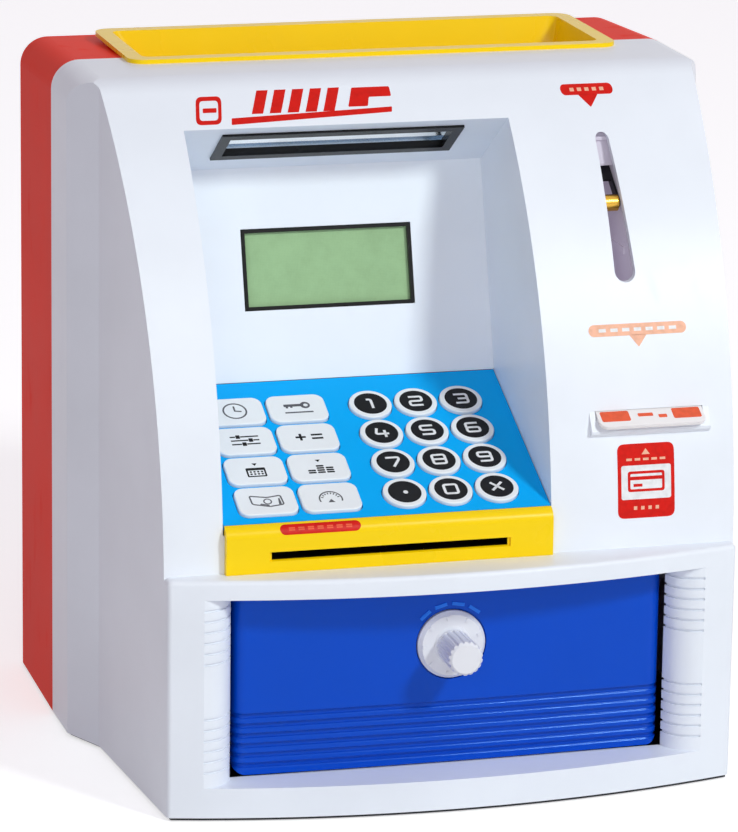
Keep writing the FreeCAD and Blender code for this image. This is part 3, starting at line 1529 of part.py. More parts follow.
def bank_card():
    body = new_body("bank_card_body")
    half = d.card_wide / 2
    pad(body, outline(body, "XY", round_rectangle(-half, -d.card_out, half,
                                                  d.card_long - d.card_out, Size.of(3.0)),
                      -d.card_thick / 2), d.card_thick)
    return finish(body, "bank_card", d.card_x, d.card_mouth_y, d.card_mouth_z, Vector(1, 0, 0),
                  d.card_tilt)


# ---------------------------------------------------------------- tray and speaker

def top_tray():
    body = new_body("top_tray_body")
    half = d.tray_half
    pad(body, outline(body, "XY", round_rectangle(-half, d.tray_front, half, d.tray_back,
                                                  d.tray_corner)), d.tray_rim_thick)
    edge = d.tray_rim - d.tray_wall
    pad(body, outline(body, "XY", round_rectangle(
        edge - half, d.tray_front + edge, half - edge, d.tray_back - edge, Size.of(4.0))),
        d.tray_deep, down=True, taper=-d.tray_draft)
    edge = d.tray_rim
    pocket(body, outline(body, "XY", round_rectangle(
        edge - half, d.tray_front + edge, half - edge, d.tray_back - edge, Size.of(3.0)),
        d.tray_rim_thick), d.tray_deep + d.tray_rim_thick - d.tray_wall, taper=-d.tray_draft)
    return finish(body, "top_tray", 0, 0, d.body_height)


def speaker():
    body = new_body("speaker_body")
    radius = d.speaker_radius
    revolve(body, [(0, 0), (9, 0), (9, 3.6), (10.5, 3.6), (radius - 3, 7.0), (radius, 7.0),
                   (radius, 8.6), (radius - 2, 8.6), (radius - 3.5, 7.6), (7, 6.0), (6, 7.4),
                   (0, 8.0)])
    seat = d.body_depth - d.wall
    return finish(body, "speaker", d.speaker_x, seat - 8.6, d.speaker_z, Vector(1, 0, 0), -90)


# ---------------------------------------------------------------- drawer and latch

def drawer_front(inset, half, back):
    """Bowed front of the drawer with round ends, from left to right."""
    face = d.drawer_face + inset
    flat = d.drawer_half - d.drawer_round
    radius = d.drawer_round - inset
    bow = (flat * flat + d.drawer_bow * d.drawer_bow) / (2 * d.drawer_bow)
    return [(-half, back), (-half, face + radius, radius), (-flat, face, bow),
            (flat, face, radius), (half, face + radius), (half, back)]


GROOVES = 6


def drawer():
    body = new_body("drawer_body")
    half, wall = d.drawer_half, d.drawer_wall
    pad(body, outline(body, "XY", drawer_front(0, half, d.drawer_back), d.drawer_foot),
        d.drawer_box_top - d.drawer_foot)
    shoulder = d.drawer_face + d.drawer_round + 3
    pad(body, outline(body, "XY", drawer_front(0, half, shoulder), d.drawer_box_top - 1),
        d.drawer_front_top - d.drawer_box_top + 1)
    skin_radius = d.drawer_round - d.drawer_wall
    face = d.drawer_face + d.drawer_wall
    flat = half - d.drawer_round
    back = d.drawer_back - wall
    pocket(body, outline(body, "XY", [
        (wall - half, back), (wall - half, face + skin_radius, skin_radius), (-flat, face),
        (flat, face, skin_radius), (half - wall, face + skin_radius), (half - wall, back)],
        d.drawer_foot + wall), d.body_height, up=True)
    groove = d.groove_deep
    face = d.drawer_face + groove
    tool = drawer_front(groove, half - groove, shoulder)
    ring_outline = tool + [(half + 4, shoulder), (half + 4, -FAR), (-half - 4, -FAR),
                           (-half - 4, shoulder)]
    lowest = d.groove_first - (GROOVES - 1) * d.groove_pitch
    slot = pocket(body, outline(body, "XY", ring_outline, lowest - d.groove_high / 2),
                  d.groove_high, up=True)
    row_of(body, slot, GROOVES, (GROOVES - 1) * d.groove_pitch)
    corner, low = d.drawer_corner, d.drawer_foot
    for points in ([(half - corner, low, corner), (half, low + corner), (half + 1, low + corner),
                    (half + 1, low - 1), (half - corner, low - 1)],
                   [(-half, low + corner, corner), (corner - half, low),
                    (corner - half, low - 1), (-half - 1, low - 1), (-half - 1, low + corner)]):
        pocket(body, outline(body, "XZ", points, FAR), d.drawer_back + 2 * FAR)
    seat = ring(body, "XZ", 0, d.dial_z, d.dial_radius + d.slide_gap, -d.drawer_face)
    pocket(body, seat, FAR, up=True)
    hole = ring(body, "XZ", 0, d.dial_z, d.dial_shaft + d.shaft_gap, -d.drawer_face + 1)
    pocket(body, hole, 6)
    keel_front = d.lip_back + d.drawer_travel + d.slide_gap
    inner = d.runner_half - d.runner_thick / 2 - d.slide_gap
    for left in (-inner, inner - 2.0):
        pad(body, outline(body, "XY", rectangle(left, keel_front, left + 2.0, d.drawer_back),
                          d.drawer_foot + 0.5), 5.0, down=True)
    return finish(body, "drawer")


CAM_FRONT = d.lip_back + d.cam_gap
GRIP_FLUTES = 18


def turned_to_front(body, label, y):
    """Finish a piece whose own z axis points out of the drawer's face."""
    return finish(body, label, 0, y, d.dial_z, Vector(1, 0, 0), 90)


def drawer_dial():
    body = new_body("drawer_dial_body")
    skirt, grip = d.dial_radius, d.grip_radius
    top = d.dial_thick + d.grip_long
    tail = CAM_FRONT + d.cam_thick - (d.drawer_face - d.fit_gap)
    revolve(body, [
        (0, -tail), (d.dial_shaft - 0.6, -tail), (d.dial_shaft - 0.6, d.cam_thick - tail),
        (d.dial_shaft, d.cam_thick - tail), (d.dial_shaft, 0), (skirt, 0),
        (skirt, d.dial_thick * 0.5), (skirt - 1.2, d.dial_thick), (grip + 0.6, d.dial_thick),
        (grip, d.dial_thick + 0.8), (grip, top - 1.0), (grip - 1.0, top), (0, top)])
    flute = pocket(body, ring(body, "XY", grip + 0.15, 0, d.flute_radius,
                              top + 1), d.grip_long - 1)
    polar(body, flute, GRIP_FLUTES)
    bore = ring(body, "XY", 0, 0, d.screw_radius - 0.2, -tail)
    pocket(body, bore, 6, up=True)
    return turned_to_front(body, "drawer_dial", d.drawer_face - d.fit_gap)


def latch_cam():
    """Finger that hangs free and catches behind the lip when turned up."""
    body = new_body("latch_cam_body")
    tip = d.cam_reach
    pad(body, outline(body, "XY", [(-6, 0), (-3.5, 3 - tip), (-2.5, -tip), (2.5, -tip),
                                   (3.5, 3 - tip), (6, 0)]), d.cam_thick)
    pad(body, ring(body, "XY", 0, 0, 6), d.cam_thick)
    pocket(body, ring(body, "XY", 0, 0, d.dial_shaft - 0.6, d.cam_thick), d.cam_thick)
    return turned_to_front(body, "latch_cam", CAM_FRONT + d.cam_thick)


def latch_screw():
    spot = [(0, CAM_FRONT + d.cam_thick - 5, d.dial_z)]
    return screw_set("latch_screw", 5, spot, Vector(1, 0, 0), -90, head=1.4)


# ---------------------------------------------------------------- fasteners

def screws():
    reach = 20.0
    spots = [(side * JOIN_X, WELL_END - reach, height)
             for side in (-1, 1) for height in JOIN_HEIGHTS]
    screw_set("housing_screws", reach, spots, Vector(1, 0, 0), -90)
    reach = 9.0
    spots = [(side * x, y, 2.0 + reach) for x, y in BASE_SPOTS for side in (-1, 1)]
    screw_set("base_screws", reach, spots, Vector(1, 0, 0), 180, head=1.3)
    spots = [(0, COVER_SCREW_Y, PLATE_FOOT + 0.9 + 5)]
    screw_set("battery_cover_screw", 5, spots, Vector(1, 0, 0), 180, head=0.8)
    spots = [(x, d.tab_y, d.base_height + 1.8 - 3.6) for x in feed_screw_places()]
    screw_set("chassis_screws", 3.6, spots, Vector(1, 0, 0), 0, head=1.4)
    spots = []
    for x, along in POST_PLACES:
        y, z = tilted_point(d.keypad_front_y, keypad_front_z, d.keypad_tilt, along,
                            -board_top - d.board_thick + 4)
        spots.append((x, y, z))
    screw_set("keypad_screws", 4, spots, Vector(1, 0, 0), d.keypad_tilt + 180, head=1.3)


front_housing()
rear_housing()
base_plate()
battery_cover()
batteries()
battery_contacts()
rubber_feet()
keypad_plate()
board_like("keypad_membrane_body", membrane_top, d.membrane_thick, True)
board_like("keypad_board_body", board_top, d.board_thick, False)
for row in range(4):
    for column in range(3):
        name = NUMBER_LABELS[row][column]
        titles = {"dot": "number_key_dot", "clear": "clear_key"}
        round_key(titles.get(name, "number_key_" + name), column, row)
    for column in range(2):
        function_key("function_key_%d" % (row * 2 + column + 1), column, row)
note_slot_bezel()
feed_chassis()
feed_gearmotor()
feed_shaft("drive_shaft", drive_z, 4.6)
feed_shaft("pressure_shaft", press_z, 2.0)
feed_rollers("drive_tyres", drive_z, d.tyre_radius, d.tyre_wide, True)
feed_rollers("pressure_rollers", press_z, d.press_radius, d.tyre_wide, False)
lcd_frame()
lcd_glass()
lamp_bezel()
lamp_reflector()
lamp_tube()
coin_chute()
coin_lever_pin()
coin_lever()
coin_roller()
card_guide()
bank_card()
top_tray()
speaker()
drawer()
drawer_dial()
latch_cam()
latch_screw()
screws()

doc.recompute()

# ---------------------------------------------------------------- checks and export

for thing in doc.Objects:
    faults = [word for word in thing.State if word in ("Invalid", "Error")]
    if faults:
        raise RuntimeError("%s (%s) is %s" % (thing.Name, thing.Label, faults))

labels = [piece.Label for piece in PARTS]
if len(set(labels)) != len(labels):
    raise RuntimeError("two pieces share a name")

os.makedirs("parts", exist_ok=True)
for piece in PARTS:
    shape = piece.Shape
    if shape.isNull() or not shape.isValid():
        raise RuntimeError(piece.Label + " has no valid shape")
    shape.exportStep(os.path.join("parts", piece.Label + ".step"))
print(len(PARTS), "pieces written")
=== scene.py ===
import math

import bmesh
import bpy
from mathutils import Matrix, Vector
from mathutils.bvhtree import BVHTree


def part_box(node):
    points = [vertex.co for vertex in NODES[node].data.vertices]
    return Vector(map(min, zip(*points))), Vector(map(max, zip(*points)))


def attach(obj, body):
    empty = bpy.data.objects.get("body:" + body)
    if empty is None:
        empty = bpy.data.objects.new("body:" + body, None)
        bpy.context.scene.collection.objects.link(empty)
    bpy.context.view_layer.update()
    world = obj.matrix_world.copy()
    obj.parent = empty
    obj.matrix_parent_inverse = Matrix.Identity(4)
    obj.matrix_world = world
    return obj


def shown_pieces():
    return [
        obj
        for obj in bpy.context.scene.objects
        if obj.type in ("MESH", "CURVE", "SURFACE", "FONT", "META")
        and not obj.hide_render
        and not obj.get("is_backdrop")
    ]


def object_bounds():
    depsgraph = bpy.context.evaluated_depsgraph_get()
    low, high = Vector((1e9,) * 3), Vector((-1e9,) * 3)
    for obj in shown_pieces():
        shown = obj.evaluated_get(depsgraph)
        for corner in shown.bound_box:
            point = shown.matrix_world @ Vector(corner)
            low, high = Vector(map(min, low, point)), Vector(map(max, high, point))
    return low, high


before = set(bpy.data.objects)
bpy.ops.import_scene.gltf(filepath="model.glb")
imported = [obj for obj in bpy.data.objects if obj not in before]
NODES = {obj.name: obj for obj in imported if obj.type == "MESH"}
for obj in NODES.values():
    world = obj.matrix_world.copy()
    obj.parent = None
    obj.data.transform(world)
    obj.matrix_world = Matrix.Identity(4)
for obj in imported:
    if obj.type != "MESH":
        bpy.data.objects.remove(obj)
CAD_BOX = [list(corner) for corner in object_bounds()]

MM = 0.001
RIGHT = Vector((1, 0, 0))
UP = Vector((0, 0, 1))
FRONT = Vector((0, -1, 0))
KEYPAD_TILT = math.radians(23.6)
KEYPAD_NORMAL = Vector((0, -math.sin(KEYPAD_TILT), math.cos(KEYPAD_TILT)))
KEYPAD_UP = Vector((0, math.cos(KEYPAD_TILT), math.sin(KEYPAD_TILT)))


# ---------------------------------------------------------------- shader maths

class Value:
    """A shader value; operators on it add the Math nodes that work it out."""

    def __init__(self, finish, socket):
        self.finish = finish
        self.socket = socket

    def math(self, operation, *others, clamp=False):
        node = self.finish.node("ShaderNodeMath", {"operation": operation, "use_clamp": clamp},
                                *([self] + list(others)))
        return Value(self.finish, node.outputs[0])

    def __add__(self, other):
        return self.math("ADD", other)

    __radd__ = __add__

    def __sub__(self, other):
        return self.math("SUBTRACT", other)

    def __rsub__(self, other):
        return self.finish.number(other).math("SUBTRACT", self)

    def __mul__(self, other):
        return self.math("MULTIPLY", other)

    __rmul__ = __mul__

    def __truediv__(self, other):
        return self.math("DIVIDE", other)

    def __gt__(self, other):
        return self.math("GREATER_THAN", other)

    def __lt__(self, other):
        return self.math("LESS_THAN", other)

    def step(self, low, high):
        """0 below low, 1 above high and smooth between."""
        node = self.finish.node("ShaderNodeMapRange", {"interpolation_type": "SMOOTHSTEP"},
                                self, low, high, 0.0, 1.0)
        return Value(self.finish, node.outputs[0])


class Finish:
    """A material on one Principled shader, with short ways to its nodes."""

    def __init__(self, name, colour, roughness, **constants):
        self.material = bpy.data.materials.new(name)
        self.material.use_nodes = True
        self.tree = self.material.node_tree
        self.shader = self.tree.nodes["Principled BSDF"]
        self.colour = colour
        self.set("Base Color", (*colour, 1.0))
        self.set("Roughness", roughness)
        for socket, value in constants.items():
            self.set(socket.replace("_", " "), value)
        self.place = self.node("ShaderNodeTexCoord").outputs["Object"]

    def set(self, socket, value):
        if isinstance(value, Value):
            self.tree.links.new(value.socket, self.shader.inputs[socket])
        elif isinstance(value, bpy.types.NodeSocket):
            self.tree.links.new(value, self.shader.inputs[socket])
        else:
            self.shader.inputs[socket].default_value = value

    def node(self, kind, settings=None, *inputs, **named):
        """Add a node: its settings first, then its sockets by order or by name."""
        node = self.tree.nodes.new(kind)
        for name, value in (settings or {}).items():
            setattr(node, name, value)
        wanted = list(enumerate(inputs))
        wanted += [(name.replace("_", " "), value) for name, value in named.items()]
        for key, value in wanted:
            socket = node.inputs[key]
            if isinstance(value, Value):
                self.tree.links.new(value.socket, socket)
            elif isinstance(value, bpy.types.NodeSocket):
                self.tree.links.new(value, socket)
            else:
                socket.default_value = value
        return node

    def number(self, value):
        node = self.node("ShaderNodeMath", {"operation": "ADD"}, float(value), 0.0)
        return Value(self, node.outputs[0])

    def stretched(self, scale):
        """Object coordinates multiplied by a scale for each axis."""
        node = self.node("ShaderNodeMapping", None, Vector=self.place, Scale=scale)
        return node.outputs[0]

    def noise(self, scale, detail=3.0, place=None, roughness=0.5):
        node = self.node("ShaderNodeTexNoise", None, Vector=place or self.place, Scale=scale,
                         Detail=detail, Roughness=roughness)
        return Value(self, node.outputs["Fac"])

    def axis(self, letter):
        node = self.node("ShaderNodeSeparateXYZ", None, self.place)
        return Value(self, node.outputs["XYZ".index(letter)])

    def blend(self, share, first, second):
        """Mix two colours by a share."""
        node = self.node("ShaderNodeMix", {"data_type": "RGBA", "clamp_factor": True})
        for index, value in ((0, share), (6, first), (7, second)):
            if isinstance(value, Value):
                self.tree.links.new(value.socket, node.inputs[index])
            elif isinstance(value, bpy.types.NodeSocket):
                self.tree.links.new(value, node.inputs[index])
            else:
                node.inputs[index].default_value = value
        return node.outputs[2]

    def bump(self, height, strength, distance):
        """Raise the surface by a height, on top of any bump it already has."""
        node = self.node("ShaderNodeBump", None, Strength=strength, Distance=distance,
                         Height=height)
        for link in self.shader.inputs["Normal"].links:
            self.tree.links.new(link.from_socket, node.inputs["Normal"])
        self.set("Normal", node.outputs[0])


def linear(red, green, blue):
    """A screen colour of 0 to 255 as linear values."""
    def one(level):
        level = level / 255
        return level / 12.92 if level <= 0.04045 else ((level + 0.055) / 1.055) ** 2.4
    return one(red), one(green), one(blue)


def tinted(colour, factor):
    return tuple(min(1.0, part * factor) for part in colour) + (1.0,)


# ---------------------------------------------------------------- finishes

def moulded(name, colour, roughness=0.3, grain=0.35, shine=0.22, **constants):
    """Injection-moulded plastic: flow marks, faint handling haze and a fine skin."""
    finish = Finish(name, colour, roughness, Specular_IOR_Level=shine, **constants)
    flow = finish.noise(9.0, 2.0, finish.stretched((1.0, 1.0, 2.5)))
    cloud = finish.noise(34.0, 4.0)
    tone = flow * 0.6 + cloud * 0.4
    finish.set("Base Color", finish.blend(tone.step(0.3, 0.7), tinted(colour, 0.965),
                                          tinted(colour, 1.02)))
    rub = finish.noise(95.0, 5.0, finish.stretched((1.0, 1.0, 0.35))).step(0.58, 0.8)
    finish.set("Roughness", rub * 0.12 + cloud * 0.06 + (roughness - 0.03))
    skin = finish.noise(1500.0, 2.0) * 0.35 + finish.noise(260.0, 2.0) * 0.65
    finish.bump(skin, grain, 0.00006)
    return finish


def grooved(name, colour):
    """Blue moulding whose grooves have softly rounded lips that catch the light."""
    finish = moulded(name, colour, 0.16, shine=0.42, Specular_Tint=(0.3, 0.6, 1.0, 1.0))
    lowest, highest, pitch = 0.0156, 0.0331, 0.0035
    height = finish.axis("Z")
    apart = ((height - lowest) / pitch).math("PINGPONG", 0.5)
    zone = (height > lowest - pitch / 2) * (height < highest + pitch / 2)
    lip = zone * (1.0 - apart.step(0.14, 0.36))
    finish.bump(1.0 - lip, 0.7, 0.0007)
    return finish


def bezel_painted_slot_shade(name, colour):
    """Yellow moulding with painted shade inside the note slot, a little way behind its lips."""
    finish = moulded(name, colour, 0.28)
    low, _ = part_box("note_slot_bezel")
    mouth_x, mouth_z = -0.0226, low.z + 0.00565
    half_wide, half_high = 0.0414, 0.00136
    # Painted shade: the colour goes near black a little way inside the note slot's mouth, where
    # shadow falls.
    deep = finish.axis("Y").step(low.y + 0.0009, low.y + 0.0017)
    band = (finish.axis("Z") - mouth_z).math("ABSOLUTE")
    across = (finish.axis("X") - mouth_x).math("ABSOLUTE")
    painted_shade = deep * (band < half_high) * (across < half_wide)
    plain = finish.shader.inputs["Base Color"].links[0].from_socket
    finish.set("Base Color", finish.blend(painted_shade, plain, (*linear(16, 12, 6), 1.0)))
    return finish


def inked(name, colour, roughness=0.38):
    """Pad-printed ink, a little uneven in its cover."""
    finish = Finish(name, colour, roughness, Specular_IOR_Level=0.2)
    cover = finish.noise(420.0, 3.0)
    finish.set("Base Color", finish.blend(cover.step(0.35, 0.75), tinted(colour, 1.0),
                                          tinted(colour, 0.86)))
    finish.set("Roughness", cover * 0.15 + (roughness - 0.05))
    finish.bump(cover, 0.25, 0.00003)
    return finish


def machined(name, colour, roughness, along=(1.0, 40.0, 40.0)):
    """Turned or rolled metal with fine lines along one axis."""
    finish = Finish(name, colour, roughness, Metallic=1.0)
    lines = finish.noise(160.0, 3.0, finish.stretched(along))
    stain = finish.noise(60.0, 4.0)
    finish.set("Base Color", finish.blend(stain.step(0.35, 0.7), tinted(colour, 0.85),
                                          tinted(colour, 1.0)))
    finish.set("Roughness", lines * 0.16 + (roughness - 0.05))
    finish.bump(lines, 0.3, 0.00004)
    return finish


def rubbery(name, colour, roughness=0.75):
    finish = Finish(name, colour, roughness, Specular_IOR_Level=0.3)
    dust = finish.noise(130.0, 5.0)
    finish.set("Base Color", finish.blend(dust.step(0.5, 0.85), tinted(colour, 1.0),
                                          tinted(colour, 1.9)))
    finish.set("Roughness", dust * 0.2 + (roughness - 0.1))
    finish.bump(finish.noise(900.0, 3.0), 0.4, 0.0001)
    return finish


def display_film(name, colour):
    """Green display cell: fine dot grid, mottled polariser."""
    finish = Finish(name, colour, 0.28, Specular_IOR_Level=0.3)
    mottle = finish.noise(150.0, 5.0, roughness=0.7)
    broad = finish.noise(28.0, 2.0)
    pitch = 0.00055
    dots = (finish.axis("X") / pitch).math("PINGPONG", 0.5)
    rows = (finish.axis("Z") / pitch).math("PINGPONG", 0.5)
    gap = dots.math("MINIMUM", rows).step(0.0, 0.10)
    tone = mottle * 0.55 + broad * 0.3 + gap * 0.15
    finish.set("Base Color", finish.blend(tone.step(0.25, 0.75), tinted(colour, 0.86),
                                          tinted(colour, 1.1)))
    finish.set("Roughness", mottle * 0.1 + 0.2)
    return finish


def laminate(name, colour):
    """Circuit board with copper tracks under its mask."""
    finish = Finish(name, colour, 0.4)
    track = finish.node("ShaderNodeTexVoronoi", {"feature": "DISTANCE_TO_EDGE"},
                        Vector=finish.place, Scale=170.0)
    line = Value(finish, track.outputs["Distance"]).step(0.02, 0.05)
    finish.set("Base Color", finish.blend(line, tinted(colour, 2.2), tinted(colour, 1.0)))
    finish.set("Roughness", line * 0.1 + 0.35)
    finish.bump(line, 0.3, 0.00005)
    return finish


def sleeve(name):
    """Plain battery sleeve with a bright band at one end."""
    dark = linear(52, 56, 66)
    finish = Finish(name, dark, 0.3, Metallic=0.5)
    wear = finish.noise(220.0, 4.0)
    band = (finish.axis("X") > 0.012)
    finish.set("Base Color", finish.blend(band, tinted(dark, 1.0),
                                          (*linear(196, 150, 60), 1.0)))
    finish.set("Roughness", wear * 0.15 + 0.22)
    finish.bump(wear, 0.15, 0.00004)
    return finish


def paper_cone(name):
    colour = linear(46, 44, 46)
    finish = Finish(name, colour, 0.85)
    fibre = finish.noise(700.0, 6.0, roughness=0.8)
    finish.set("Base Color", finish.blend(fibre.step(0.3, 0.7), tinted(colour, 0.7),
                                          tinted(colour, 1.3)))
    finish.bump(fibre, 0.6, 0.0002)
    return finish


def mirror_film(name):
    """Metallised trough behind the lamp, with soft ripples."""
    colour = linear(205, 214, 222)
    finish = Finish(name, colour, 0.16, Metallic=1.0)
    ripple = finish.noise(70.0, 3.0, finish.stretched((0.4, 2.0, 2.0)))
    finish.set("Base Color", finish.blend(ripple.step(0.3, 0.7), tinted(colour, 0.75),
                                          tinted(colour, 1.0)))
    finish.set("Roughness", ripple * 0.12 + 0.12)
    finish.bump(ripple, 0.35, 0.0003)
    return finish


def frosted_tube(name):
    """White tube that glows a little along its middle."""
    colour = linear(246, 250, 255)
    finish = Finish(name, colour, 0.25, Emission_Strength=0.55)
    glow = finish.noise(40.0, 2.0)
    finish.set("Emission Color", finish.blend(glow, (*linear(225, 238, 255), 1.0),
                                              (*linear(255, 255, 255), 1.0)))
    finish.set("Roughness", glow * 0.1 + 0.2)
    return finish


WHITE = linear(238, 242, 250)
CAP_WHITE = linear(240, 243, 246)
RED = linear(252, 44, 14)
YELLOW = linear(254, 214, 2)
SKY = linear(0, 174, 250)
BLUE = linear(0, 68, 194)
INK_RED = linear(216, 22, 10)
INK_ORANGE = linear(238, 98, 62)
INK_PALE = linear(247, 186, 156)

white_shell = moulded("white_shell", WHITE, 0.34)
red_shell = moulded("red_shell", RED, 0.4, shine=0.015)
yellow_plastic = moulded("yellow_plastic", YELLOW, 0.28)
keypad_blue = moulded("keypad_blue", SKY, 0.4, shine=0.08)
drawer_blue = grooved("drawer_blue", BLUE)
cap_white = moulded("cap_white", CAP_WHITE, 0.32, grain=0.2)
dial_white = moulded("dial_white", linear(234, 234, 240), 0.3)
inner_white = moulded("inner_white", linear(205, 200, 210), 0.45)
# The chute glows faintly though it is no lamp: painted light that brightens its walls seen
# through the coin slot.
chute_white_painted_glow = moulded("chute_white_painted_glow", linear(205, 198, 212), 0.4, Emission_Strength=0.14,
                      Emission_Color=(*linear(205, 196, 214), 1.0))
dark_plastic = moulded("dark_plastic", linear(34, 33, 38), 0.42)
frame_black = moulded("frame_black", linear(12, 12, 14), 0.26)
card_plastic = moulded("card_plastic", linear(244, 240, 240), 0.3, grain=0.15)
mat_rubber = rubbery("mat_rubber", linear(178, 178, 176))
black_rubber = rubbery("black_rubber", linear(24, 24, 26))
zinc = machined("zinc", linear(188, 190, 194), 0.34)
brass = machined("brass", linear(228, 178, 74), 0.22)
steel = machined("steel", linear(206, 208, 212), 0.22)
ink_black = inked("ink_black", linear(14, 13, 16))
ink_white = inked("ink_white", linear(240, 240, 242))
ink_red = inked("ink_red", INK_RED)
ink_orange = inked("ink_orange", INK_ORANGE)
ink_pale = inked("ink_pale", INK_PALE)
ink_grey = inked("ink_grey", linear(92, 92, 98))

CAD_FINISHES = {
    "front_housing": white_shell, "rear_housing": red_shell, "base_plate": dark_plastic,
    "battery_cover": dark_plastic, "batteries": sleeve("cell_sleeve"),
    "battery_contacts": steel, "rubber_feet": black_rubber, "keypad_plate": keypad_blue,
    "keypad_membrane": mat_rubber, "keypad_board": laminate("board_laminate",
                                                            linear(28, 92, 44)),
    "note_slot_bezel": bezel_painted_slot_shade("bezel_painted_slot_shade", YELLOW), "feed_chassis": dark_plastic,
    "feed_gearmotor": zinc,
    "lcd_frame": frame_black, "lcd_glass": display_film("display_film", linear(150, 184, 137)),
    "lamp_bezel": frame_black, "lamp_reflector": mirror_film("mirror_film"),
    "lamp_tube": frosted_tube("frosted_tube"), "coin_chute": chute_white_painted_glow,
    "coin_lever_pin": steel, "card_guide": inner_white, "top_tray": yellow_plastic,
    "speaker": paper_cone("paper_cone"), "housing_screws": zinc, "base_screws": zinc,
    "battery_cover_screw": zinc, "chassis_screws": zinc, "keypad_screws": zinc,
    "drawer": drawer_blue, "drawer_dial": dial_white, "latch_cam": dark_plastic,
    "latch_screw": zinc, "coin_lever": dark_plastic, "coin_roller": brass,
    "drive_shaft": steel, "drive_tyres": black_rubber, "pressure_shaft": steel,
    "pressure_rollers": inner_white, "bank_card": card_plastic,
}


def dress_nodes():
    """Give every carried-over node its finish; keys share one."""
    for name, piece in NODES.items():
        finish = CAD_FINISHES.get(name, cap_white)
        for slot in piece.material_slots:
            slot.material = finish.material


dress_nodes()


# ---------------------------------------------------------------- flat outlines

def arc(middle, radius, start, end, steps=24):
    """Points on an arc about a middle, from one angle to another in degrees."""
    points = []
    for step in range(steps + 1):
        turn = math.radians(start + (end - start) * step / steps)
        points.append((middle[0] + radius * math.cos(turn), middle[1] + radius * math.sin(turn)))
    return points


def circle(middle, radius, steps=40):
    return arc(middle, radius, 0, 360 - 360 / steps, steps - 1)


def softened(corners, radius, closed=True, steps=6):
    """The same outline with every corner turned on a small arc."""
    points = []
    count = len(corners)
    for index, corner in enumerate(corners):
        here = Vector(corner)
        if not closed and index in (0, count - 1):
            points.append(tuple(here))
            continue
        before = Vector(corners[index - 1]) - here
        after = Vector(corners[(index + 1) % count]) - here
        reach = min(radius, before.length * 0.49, after.length * 0.49)
        start, end = here + before.normalized() * reach, here + after.normalized() * reach
        for step in range(steps + 1):
            share = step / steps
            bend = start.lerp(here, share).lerp(here.lerp(end, share), share)
            points.append(tuple(bend))
    return points


def box_outline(left, low, right, high, radius=0.0):
    corners = [(left, low), (right, low), (right, high), (left, high)]
    return softened(corners, radius) if radius else corners


def capsule(middle, width, height):
    reach = (width - height) / 2
    return (arc((middle[0] + reach, middle[1]), height / 2, -90, 90, 12)
            + arc((middle[0] - reach, middle[1]), height / 2, 90, 270, 12))


def stroke(line, width, closed=False):
    """The outlines of a pen line of even width: one ring, or two for a closed line."""
    count = len(line)
    sides = ([], [])
    for index in range(count):
        here = Vector(line[index])
        before = Vector(line[index - 1]) if closed or index else None
        after = Vector(line[(index + 1) % count]) if closed or index < count - 1 else None
        ways = [way.normalized() for way in (here - before if before else None,
                                             after - here if after else None) if way]
        across = sum((Vector((-way.y, way.x)) for way in ways), Vector((0, 0))).normalized()
        lean = max(0.5, across.dot(Vector((-ways[0].y, ways[0].x))))
        for side, sign in zip(sides, (1, -1)):
            side.append(tuple(here + across * (sign * width / 2 / lean)))
    if closed:
        return [sides[0], sides[1]]
    return [sides[0] + sides[1][::-1]]


def plate(rings, thickness, edge=0.0):
    """A thin solid plate from outlines; a ring inside another is a hole in it."""
    curve = bpy.data.curves.new("outline", "CURVE")
    curve.dimensions = "2D"
    curve.fill_mode = "BOTH"
    curve.extrude = thickness / 2 * MM
    curve.bevel_depth = edge * MM
    curve.bevel_resolution = 1
    curve.offset = -edge * MM
    for ring in rings:
        spline = curve.splines.new("POLY")
        spline.points.add(len(ring) - 1)
        for point, (x, y) in zip(spline.points, ring):
            point.co = (x * MM, y * MM, 0, 1)
        spline.use_cyclic_u = True
    carrier = bpy.data.objects.new("outline", curve)
    bpy.context.scene.collection.objects.link(carrier)
    mesh = bpy.data.meshes.new_from_object(
        carrier.evaluated_get(bpy.context.evaluated_depsgraph_get()))
    bpy.data.objects.remove(carrier)
    bpy.data.curves.remove(curve)
    mesh.transform(Matrix.Translation((0, 0, thickness / 2 * MM)))
    return mesh


def axes(origin, right, up):
    """The matrix that lays a flat drawing at an origin, its own up and right given."""
    right, up = Vector(right).normalized(), Vector(up).normalized()
    out = right.cross(up)
    turn = Matrix((right, up, out)).transposed().to_4x4()
    return Matrix.Translation(origin) @ turn


def piece(name, body, parts):
    """One object from (mesh, finish) parts that are already in place; it rides on a body."""
    joined = bmesh.new()
    finishes = []
    for mesh, finish in parts:
        if finish not in finishes:
            finishes.append(finish)
        first = len(joined.faces)
        joined.from_mesh(mesh)
        joined.faces.ensure_lookup_table()
        for face in joined.faces[first:]:
            face.material_index = finishes.index(finish)
        bpy.data.meshes.remove(mesh)
    bmesh.ops.remove_doubles(joined, verts=joined.verts, dist=0.000002)
    mesh = bpy.data.meshes.new(name)
    joined.to_mesh(mesh)
    joined.free()
    for finish in finishes:
        mesh.materials.append(finish.material)
    made = bpy.data.objects.new(name, mesh)
    bpy.context.scene.collection.objects.link(made)
    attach(made, body)
    return made


def sliced(mesh, pitch):
    """Cut a flat plate into small cells so that it can follow a curved wall."""
    work = bmesh.new()
    work.from_mesh(mesh)
    for axis in (0, 1):
        values = [vertex.co[axis] for vertex in work.verts]
        steps = int((max(values) - min(values)) / pitch)
        for step in range(1, steps + 1):
            spot = Vector((0, 0, 0))
            spot[axis] = min(values) + (max(values) - min(values)) * step / (steps + 1)
            side = Vector((0, 0, 0))
            side[axis] = 1
            bmesh.ops.bisect_plane(work, geom=work.verts[:] + work.edges[:] + work.faces[:],
                                   dist=1e-7, plane_co=spot, plane_no=side)
    work.to_mesh(mesh)
    work.free()
    return mesh


WALLS = {}


